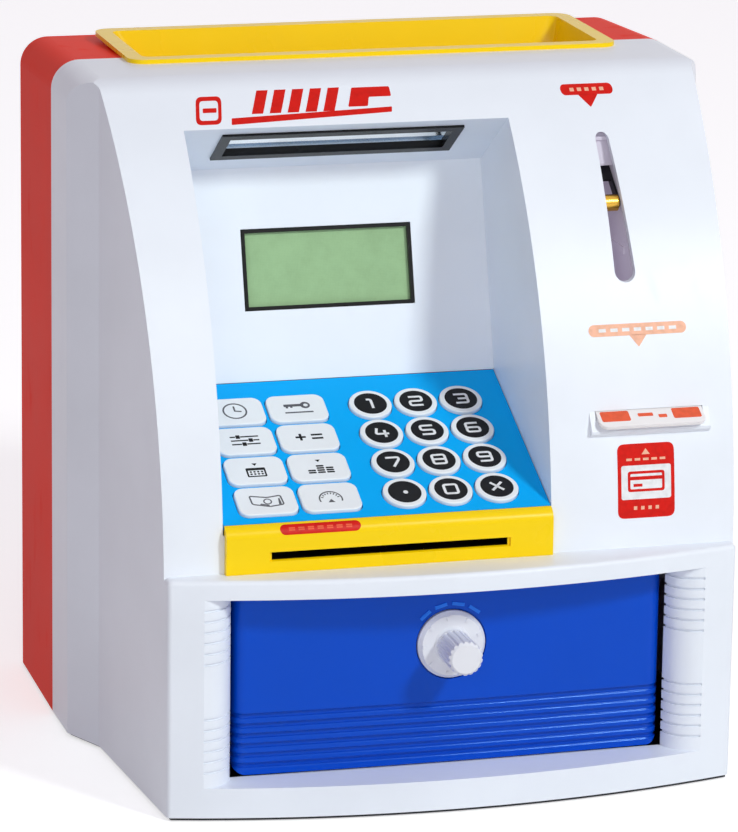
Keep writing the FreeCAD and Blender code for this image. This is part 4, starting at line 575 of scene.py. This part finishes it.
def wall(node):
    """A ray target made from a carried-over node."""
    if node not in WALLS:
        mesh = NODES[node].data
        WALLS[node] = BVHTree.FromPolygons([vertex.co for vertex in mesh.vertices],
                                           [face.vertices for face in mesh.polygons])
    return WALLS[node]


def laid(mesh, node, middle, right, up, lift=0.02):
    """Lay a plate drawn about (0, 0) on a node's wall, following its curve."""
    sliced(mesh, 2.5 * MM)
    place = axes(middle, right, up)
    inward = -place.to_3x3().col[2]
    for vertex in mesh.vertices:
        height = vertex.co.z
        start = place @ Vector((vertex.co.x, vertex.co.y, 0)) - inward * 0.03
        found = wall(node).ray_cast(start, inward, 0.25)
        if found[0] is None:
            raise RuntimeError(node + " has no wall behind the plate")
        vertex.co = found[0] - inward * (height + lift * MM)
    return mesh


def set_down(mesh, place):
    mesh.transform(place)
    return mesh


def crown(node, normal, band=0.00006):
    """The middle of the face of a node that lies furthest along a direction."""
    points = [vertex.co for vertex in NODES[node].data.vertices]
    top = max(point.dot(normal) for point in points)
    face = [point for point in points if point.dot(normal) > top - band]
    across = normal.cross(RIGHT)
    middle = Vector((0, 0, 0))
    for way in (RIGHT, across, normal):
        reach = [point.dot(way) for point in face]
        middle += way * ((max(reach) + min(reach)) / 2)
    return middle


# ---------------------------------------------------------------- key legends

PEN = 0.95
NUMERALS = {
    "0": [[(-1, -1), (1, -1), (1, 1), (-1, 1), (-1, -1)]],
    "1": [[(-0.5, 0.95), (0.2, 0.95), (0.2, -1.1)]],
    "2": [[(-1, 1), (1, 1), (1, 0), (-1, 0), (-1, -1), (1, -1)]],
    "3": [[(-1, 1), (1, 1), (1, -1), (-1, -1)], [(-0.5, 0), (1, 0)]],
    "4": [[(-0.6, 1), (-0.95, -0.3), (1.1, -0.3)], [(0.5, 0.5), (0.5, -1.1)]],
    "5": [[(1, 1), (-1, 1), (-1, 0), (1, 0), (1, -1), (-1, -1)]],
    "6": [[(-1, -1), (1, -1), (1, 0), (-1, 0), (-1, -1)], [(-1, -0.2), (-1, 1), (0.9, 1)]],
    "7": [[(-1, 1), (1, 1), (1, 0.5), (-0.1, -1.1)]],
    "8": [[(-1, -1), (1, -1), (1, 1), (-1, 1), (-1, -1)], [(-0.9, 0), (0.9, 0)]],
    "9": [[(-1, 0), (1, 0), (1, 1), (-1, 1), (-1, 0)], [(1, 0.2), (1, -1), (-0.9, -1)]],
    "clear": [[(-0.9, 0.9), (0.9, -0.9)], [(-0.9, -0.9), (0.9, 0.9)]],
}
NUMERAL_HALF_WIDTH = 2.25
NUMERAL_HALF_HEIGHT = 2.35
DISC_RADIUS = 5.75


def pen_lines(lines, width, across, high, thickness, round_by=0.9):
    """Numeral strokes as thin plates; a line that ends where it starts is closed."""
    meshes = []
    for line in lines:
        corners = [(x * across, y * high) for x, y in line]
        closed = line[0] == line[-1]
        corners = corners[:-1] if closed else corners
        path = softened(corners, round_by, closed)
        meshes.append(plate(stroke(path, width, closed), thickness))
    return meshes


def key_print(name):
    """The black disc and white numeral on a round key."""
    sign = name.split("_")[-1] if name.startswith("number") else "clear"
    place = axes(crown(name, KEYPAD_NORMAL), RIGHT, KEYPAD_UP)
    disc = plate([circle((0, 0), DISC_RADIUS, 64)], 0.05)
    lift = Matrix.Translation((0, 0, 0.05 * MM))
    parts = [(set_down(disc, place), ink_black)]
    if sign == "dot":
        marks = [plate([circle((0.3, -0.2), 0.85)], 0.05)]
    else:
        marks = pen_lines(NUMERALS[sign], PEN, NUMERAL_HALF_WIDTH, NUMERAL_HALF_HEIGHT, 0.05)
    parts += [(set_down(mark, place @ lift), ink_white) for mark in marks]
    piece(name + "_print", name + "_body", parts)


def clock_icon():
    rings = [circle((0, 0), 4.3), circle((0, 0), 3.7)]
    hands = stroke([(0, 2.6), (0, 0), (2.3, -0.4)], 0.6)
    return [rings, hands]


def key_icon():
    bow = [circle((3.0, 1.2), 1.75), circle((3.2, 1.2), 0.8)]
    bit = [[(-4.6, 0.7), (-4.6, 2.0), (1.4, 2.0), (1.4, 0.7), (-1.6, 0.7), (-1.6, 0.1),
            (-2.4, 0.1), (-2.4, 0.7), (-3.2, 0.7), (-3.2, -0.1), (-4.0, -0.1), (-4.0, 0.7)]]
    rule = [box_outline(-4.8, -2.9, 5.2, -2.2)]
    return [bow, bit, rule]


def sliders_icon():
    shapes = []
    for level, knob in ((2.0, -2.2), (0.0, 2.0), (-2.0, -0.6)):
        shapes.append([box_outline(-5.0, level - 0.32, knob - 0.9, level + 0.32)])
        shapes.append([box_outline(knob + 0.9, level - 0.32, 5.0, level + 0.32)])
        shapes.append([box_outline(knob - 0.75, level - 0.95, knob + 0.75, level + 0.95, 0.3)])
    return shapes


def total_icon():
    plus = [[(-4.4, -0.45), (-4.4, 0.45), (-3.05, 0.45), (-3.05, 1.8), (-2.15, 1.8),
             (-2.15, 0.45), (-0.8, 0.45), (-0.8, -0.45), (-2.15, -0.45), (-2.15, -1.8),
             (-3.05, -1.8), (-3.05, -0.45)]]
    upper = [box_outline(1.2, 0.5, 5.2, 1.4)]
    lower = [box_outline(1.2, -1.4, 5.2, -0.5)]
    return [plus, upper, lower]


def pointer(x, y, half, drop):
    return [[(x - half, y), (x, y - drop), (x + half, y)]]


def calendar_icon():
    frame_ring = [box_outline(-3.4, -3.6, 3.4, 1.2, 0.5), box_outline(-2.8, -3.0, 2.8, -0.1)]
    days = [[circle((x, y), 0.42, 16)] for y in (-0.9, -2.1) for x in (-1.9, -0.6, 0.7, 2.0)]
    return [frame_ring] + days + [pointer(0.2, 3.6, 0.9, 1.3)]


def coins_icon():
    shapes = [pointer(0.2, 3.6, 0.9, 1.3)]
    for x, count in ((-2.9, 2), (0.3, 4), (3.5, 3)):
        for level in range(count):
            low = -3.6 + level * 1.15
            shapes.append([box_outline(x - 1.35, low, x + 1.35, low + 0.8, 0.35)])
    return shapes


def note_icon():
    edge = softened([(-5.4, 2.6), (-5.2, -1.8), (0.6, -3.4), (5.6, -2.6), (5.2, 2.2),
                     (0.4, 1.4)], 0.8)
    return [stroke(edge, 0.55, True), [circle((0.3, -0.7), 1.5), circle((0.3, -0.7), 1.05)],
            [[(3.9, -2.5), (4.9, -2.3), (4.7, 0.9), (4.2, 0.6)]],
            [[(-2.6, -2.1), (0.4, -3.0), (0.6, -2.5), (-2.2, -1.6)]]]


def slot_icon():
    shapes = [stroke(arc((0, -1.4), 3.9, -18, 198, 30), 0.5), pointer(0, -3.1, 1.2, -1.7)]
    for turn in range(20, 161, 20):
        way = Vector((math.cos(math.radians(turn)), math.sin(math.radians(turn))))
        shapes.append(stroke([tuple(way * 2.6 + Vector((0, -1.4))),
                              tuple(way * 3.4 + Vector((0, -1.4)))], 0.45))
    return shapes


FUNCTION_ICONS = (clock_icon, key_icon, sliders_icon, total_icon, calendar_icon, coins_icon,
                  note_icon, slot_icon)


def function_print(number, shapes):
    """The dark symbol on an oblong key."""
    node = "function_key_%d" % number
    place = axes(crown(node, KEYPAD_NORMAL), RIGHT, KEYPAD_UP)
    ink = ink_black if number in (3, 4, 5, 6) else ink_grey
    parts = [(set_down(plate(rings, 0.05), place), ink) for rings in shapes]
    piece(node + "_print", node + "_body", parts)


for digit in "0123456789":
    key_print("number_key_" + digit)
key_print("number_key_dot")
key_print("clear_key")
for index, icon in enumerate(FUNCTION_ICONS):
    function_print(index + 1, icon())


# ---------------------------------------------------------------- printed labels

def on_front(x, z):
    """A point in front of the housing at a width and height in millimetres."""
    return Vector((x * MM, -0.10, z * MM))


def dashes(count, pitch, width, height, y=0.0, lean=0.0):
    """A row of short bars, each one ring."""
    rings = []
    low, high = y - height / 2, y + height / 2
    for index in range(count):
        x = (index - (count - 1) / 2) * pitch
        left, right = x - width / 2, x + width / 2
        rings.append([(left - lean, low), (right - lean, low),
                      (right + lean, high), (left + lean, high)])
    return rings


def front_label(name, node, body, x, z, layers):
    """Printed layers on a wall that faces forward: (rings, ink, layer height)."""
    parts = []
    for rings, ink, level in layers:
        for ring_set in rings:
            mesh = laid(plate(ring_set, 0.04), node, on_front(x, z), RIGHT, UP,
                        lift=0.01 + level * 0.035)
            parts.append((mesh, ink))
    piece(name, body, parts)


def separate(rings):
    return [[ring] for ring in rings]


front_label("coin_label", "front_housing", "casing", 65.3, 229.6, [
    ([[capsule((0, 1.1), 19.0, 3.2)], [softened([(-3.6, -0.4), (0, -4.2), (3.6, -0.4)], 0.4)]],
     ink_red, 0),
    (separate(dashes(5, 2.7, 1.5, 1.0, 1.1)), ink_pale, 1),
])
front_label("card_label", "front_housing", "casing", 68.7, 156.2, [
    ([[capsule((0, 1.1), 35.0, 3.8)], [softened([(-3.2, -0.6), (0, -4.6), (3.2, -0.6)], 0.4)]],
     ink_pale, 0),
    (separate(dashes(7, 4.2, 2.6, 1.1, 1.1)), ink_white, 1),
])
front_label("card_notice", "front_housing", "casing", 68.8, 107.3, [
    ([[box_outline(-10.2, -12.7, 10.2, 12.7, 2.6)]], ink_red, 0),
    ([[box_outline(-8.9, -6.2, 8.9, 5.4, 0.8)]], ink_white, 1),
    ([[softened([(-1.5, 9.0), (0, 11.0), (1.5, 9.0)], 0.2)]]
     + separate(dashes(5, 3.0, 2.0, 0.8, 7.4)) + separate(dashes(4, 2.6, 1.2, 1.2, -9.2)),
     ink_pale, 1),
    ([[box_outline(-6.6, -3.6, 6.6, 3.4, 1.0), box_outline(-5.7, -2.7, 5.7, 2.5, 0.5)],
      [box_outline(-5.7, 0.4, 5.7, 1.6)], [box_outline(-4.6, -1.9, -1.4, -0.9)]], ink_red, 2),
])
front_label("header_stripes", "front_housing", "casing", -39.0, 229.3, [
    ([[softened([(-36.4, -4.6), (-27.4, -4.6), (-25.6, 3.4), (-34.6, 3.4)], 2.0),
       softened([(-34.8, -3.4), (-28.3, -3.4), (-27.1, 2.2), (-33.6, 2.2)], 1.2)]]
     + [[softened([(-33.2, -1.2), (-28.4, -1.2), (-28.1, 0.1), (-32.9, 0.1)], 0.3)]]
     + [[ring] for ring in dashes(5, 6.3, 4.0, 6.6, 1.3, 1.7)]
     + [[softened([(-24.0, -4.9), (33.0, -2.9), (33.4, -1.4), (-23.6, -3.0)], 0.3)]]
     + [[softened([(18.0, -1.0), (20.6, 4.4), (34.0, 4.4), (34.0, 1.6), (26.0, 1.6),
                   (25.0, -1.0)], 0.5)]], ink_red, 0),
])


# ---------------------------------------------------------------- printed card and bezel

CARD_TILT = math.radians(28)
CARD_UP = Vector((0, math.cos(CARD_TILT), math.sin(CARD_TILT)))
CARD_NORMAL = Vector((0, -math.sin(CARD_TILT), math.cos(CARD_TILT)))


def card_print():
    """Blocks along the outer end of the card's face and a stripe behind them."""
    middle = crown("bank_card", CARD_NORMAL)
    place = axes(middle, RIGHT, CARD_UP)
    reach = [(place.inverted() @ vertex.co).y for vertex in NODES["bank_card"].data.vertices]
    outer = min(reach) / MM
    rows = [[box_outline(-17.8, outer + 2.6, -7.6, outer + 7.6, 0.8)],
            [box_outline(-4.6, outer + 4.4, 0.8, outer + 6.0, 0.4)],
            [box_outline(2.6, outer + 3.4, 5.6, outer + 5.0, 0.4)],
            [box_outline(7.8, outer + 2.6, 17.8, outer + 7.6, 0.8)],
            [box_outline(-17.6, outer + 10.2, 17.6, outer + 13.4, 0.6)]]
    parts = [(set_down(plate(rings, 0.05), place), ink_orange) for rings in rows]
    piece("bank_card_print", "card", parts)


def bezel_print():
    """The red capsule on the rounded top edge of the strip above the note slot."""
    low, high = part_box("note_slot_bezel")
    slope = math.radians(50)
    middle = Vector((-0.047, low.y + 0.0013, high.z - 0.002))
    up = Vector((0, math.cos(slope), math.sin(slope)))
    ring = laid(plate([capsule((0, 0), 28.0, 3.8)], 0.04), "note_slot_bezel", middle, RIGHT,
                up, 0.01)
    parts = [(ring, ink_red)]
    for bar in dashes(7, 3.3, 2.1, 1.2):
        parts.append((laid(plate([bar], 0.04), "note_slot_bezel", middle, RIGHT, up, 0.045),
                      ink_orange))
    piece("note_slot_print", "casing", parts)


card_print()
bezel_print()


# ---------------------------------------------------------------- dial index

def index_tree():
    """A small node tree that sets raised dashes on an arc, each along or across it."""
    tree = bpy.data.node_groups.new("dial_index", "GeometryNodeTree")
    face = tree.interface
    face.new_socket("Geometry", in_out="OUTPUT", socket_type="NodeSocketGeometry")
    sockets = {}
    for name, kind in (("Count", "Int"), ("Radius", "Float"), ("Along", "Float"),
                       ("Across", "Float"), ("Height", "Float"), ("Start", "Float"),
                       ("Sweep", "Float"), ("Finish", "Material")):
        socket = face.new_socket(name, in_out="INPUT", socket_type="NodeSocket" + kind)
        sockets[name] = socket.identifier

    def add(kind, settings=None, **values):
        node = tree.nodes.new(kind)
        for key, value in (settings or {}).items():
            setattr(node, key, value)
        for key, value in values.items():
            target = node.inputs[key.replace("_", " ")]
            if isinstance(value, bpy.types.NodeSocket):
                tree.links.new(value, target)
            else:
                target.default_value = value
        return node

    given = add("NodeGroupInput")
    arc_line = add("GeometryNodeCurveArc", {"mode": "RADIUS"}, Resolution=given.outputs["Count"],
                   Radius=given.outputs["Radius"], Start_Angle=given.outputs["Start"],
                   Sweep_Angle=given.outputs["Sweep"])
    points = add("GeometryNodeCurveToPoints", {"mode": "EVALUATED"}, Curve=arc_line.outputs[0])
    size = add("ShaderNodeCombineXYZ", None, X=given.outputs["Across"], Y=given.outputs["Along"],
               Z=given.outputs["Height"])
    dash = add("GeometryNodeMeshCube", None, Size=size.outputs[0], Vertices_X=2, Vertices_Y=3,
               Vertices_Z=2)
    spot = add("GeometryNodeInputPosition")
    apart = add("ShaderNodeSeparateXYZ", None, Vector=spot.outputs[0])
    turn = add("ShaderNodeMath", {"operation": "ARCTAN2"})
    tree.links.new(apart.outputs[1], turn.inputs[0])
    tree.links.new(apart.outputs[0], turn.inputs[1])
    facing = add("ShaderNodeCombineXYZ", None, Z=turn.outputs[0])
    placed = add("GeometryNodeInstanceOnPoints", None, Points=points.outputs[0],
                 Instance=dash.outputs[0], Rotation=facing.outputs[0])
    whole = add("GeometryNodeRealizeInstances", None, Geometry=placed.outputs[0])
    coloured = add("GeometryNodeSetMaterial", None, Geometry=whole.outputs[0],
                   Material=given.outputs["Finish"])
    result = tree.nodes.new("NodeGroupOutput")
    tree.links.new(coloured.outputs[0], result.inputs[0])
    return tree, sockets


INDEX_TREE, INDEX_SOCKETS = index_tree()


def raised_marks(name, node, body, finish, **values):
    """Marks from the node tree around the dial's axis, each vertex following its wall."""
    carrier = bpy.data.objects.new(name, bpy.data.meshes.new(name))
    bpy.context.scene.collection.objects.link(carrier)
    modifier = carrier.modifiers.new("index", "NODES")
    modifier.node_group = INDEX_TREE
    for key, value in values.items():
        modifier[INDEX_SOCKETS[key]] = value
    modifier[INDEX_SOCKETS["Finish"]] = finish.material
    mesh = bpy.data.meshes.new_from_object(
        carrier.evaluated_get(bpy.context.evaluated_depsgraph_get()))
    bpy.data.objects.remove(carrier)
    low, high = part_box("drawer_dial")
    place = axes(Vector(((low.x + high.x) / 2, -0.12, (low.z + high.z) / 2)), RIGHT, UP)
    for vertex in mesh.vertices:
        start = place @ Vector((vertex.co.x, vertex.co.y, 0))
        found = wall(node).ray_cast(start, -FRONT, 0.12)
        vertex.co = found[0] + FRONT * (vertex.co.z + 0.0002)
    mesh.materials.clear()
    piece(name, body, [(mesh, finish)])


# A lighter blue than the drawer's own moulding: a painted highlight on the raised index dashes.
index_blue_painted_highlight = moulded("index_blue_painted_highlight", linear(28, 120, 240), 0.26)
raised_marks("dial_index", "drawer", "cash_drawer", index_blue_painted_highlight, Count=4, Radius=0.0142,
             Along=0.0044, Across=0.0012, Height=0.0005, Start=math.radians(56),
             Sweep=math.radians(75))
raised_marks("dial_marks", "drawer_dial", "dial_and_latch", dial_white, Count=9, Radius=0.0099,
             Along=0.0010, Across=0.0015, Height=0.0004, Start=math.radians(20),
             Sweep=math.radians(320))


# ---------------------------------------------------------------- floor, lamps and camera

def seen_directly(tree):
    """1 for camera, glossy and transmission rays, 0 for the rays that only light things."""
    rays = tree.nodes.new("ShaderNodeLightPath")
    seen = rays.outputs["Is Camera Ray"]
    for kind in ("Is Glossy Ray", "Is Transmission Ray"):
        either = tree.nodes.new("ShaderNodeMath")
        either.operation = "MAXIMUM"
        tree.links.new(seen, either.inputs[0])
        tree.links.new(rays.outputs[kind], either.inputs[1])
        seen = either.outputs[0]
    return seen


def floor():
    """A pale floor that shows white to the camera and keeps the object's shadow."""
    work = bmesh.new()
    bmesh.ops.create_grid(work, x_segments=8, y_segments=8, size=3.0)
    mesh = bpy.data.meshes.new("studio_floor")
    work.to_mesh(mesh)
    work.free()
    mesh.transform(Matrix.Translation((0, 0, CAD_BOX[0][2])))
    made = bpy.data.objects.new("studio_floor", mesh)
    bpy.context.scene.collection.objects.link(made)
    paint = bpy.data.materials.new("studio_floor")
    paint.use_nodes = True
    tree = paint.node_tree
    shader = tree.nodes["Principled BSDF"]
    shader.inputs["Base Color"].default_value = (0.78, 0.79, 0.79, 1)
    shader.inputs["Roughness"].default_value = 0.9
    shader.inputs["Emission Color"].default_value = (1, 1, 1, 1)
    share = tree.nodes.new("ShaderNodeMath")
    share.operation = "MULTIPLY"
    share.inputs[1].default_value = 0.58
    tree.links.new(seen_directly(tree), share.inputs[0])
    tree.links.new(share.outputs[0], shader.inputs["Emission Strength"])
    mesh.materials.append(paint)
    made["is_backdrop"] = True


def sky():
    """Even fill for the object, white where the camera or a reflection sees it."""
    world = bpy.context.scene.world or bpy.data.worlds.new("studio")
    bpy.context.scene.world = world
    world.use_nodes = True
    tree = world.node_tree
    fill = tree.nodes["Background"]
    fill.inputs["Color"].default_value = (1.0, 0.86, 1.0, 1)
    fill.inputs["Strength"].default_value = 0.33
    bright = tree.nodes.new("ShaderNodeBackground")
    bright.inputs["Color"].default_value = (1, 1, 1, 1)
    bright.inputs["Strength"].default_value = 1.0
    mix = tree.nodes.new("ShaderNodeMixShader")
    tree.links.new(seen_directly(tree), mix.inputs[0])
    tree.links.new(fill.outputs[0], mix.inputs[1])
    tree.links.new(bright.outputs[0], mix.inputs[2])
    tree.links.new(mix.outputs[0], tree.nodes["World Output"].inputs["Surface"])


def lamp(name, toward, distance, size, power):
    """A square soft lamp, slightly cool, that looks at the middle of the object."""
    data = bpy.data.lights.new(name, "AREA")
    data.shape = "SQUARE"
    data.size = size
    data.energy = power
    data.color = (0.92, 1.0, 0.965)
    made = bpy.data.objects.new(name, data)
    bpy.context.scene.collection.objects.link(made)
    way = Vector(toward).normalized()
    made.location = Vector((0, 0, 0.12)) + way * distance
    made.rotation_euler = way.to_track_quat("Z", "Y").to_euler()


def camera():
    """A long lens from the front left, a little above."""
    turn, rise, roll = math.radians(-15.66), math.radians(14.80), math.radians(0.84)
    right = Vector((math.cos(turn), math.sin(turn), 0))
    back = Vector((math.sin(turn) * math.cos(rise), -math.cos(turn) * math.cos(rise),
                   math.sin(rise)))
    up = back.cross(right)
    level = right * math.cos(roll) + up * math.sin(roll)
    upright = up * math.cos(roll) - right * math.sin(roll)
    data = bpy.data.cameras.new("camera")
    data.sensor_fit = "HORIZONTAL"
    data.sensor_width = 36.0
    data.lens = 237.19
    data.clip_start = 0.05
    data.clip_end = 20.0
    made = bpy.data.objects.new("camera", data)
    bpy.context.scene.collection.objects.link(made)
    turn_matrix = Matrix((level, upright, back)).transposed().to_4x4()
    made.matrix_world = Matrix.Translation((-0.45396, -1.59312, 0.55094)) @ turn_matrix
    bpy.context.scene.camera = made


floor()
sky()
lamp("key_lamp", (0.50, -0.87, 0.74), 1.9, 0.26, 17.5)
lamp("front_lamp", (-0.35, -1.0, 0.34), 2.0, 0.9, 7.5)
camera()
bpy.context.scene.view_settings.view_transform = "Standard"

for made_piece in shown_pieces():
    if made_piece.name not in NODES:
        for polygon in made_piece.data.polygons:
            polygon.use_smooth = False
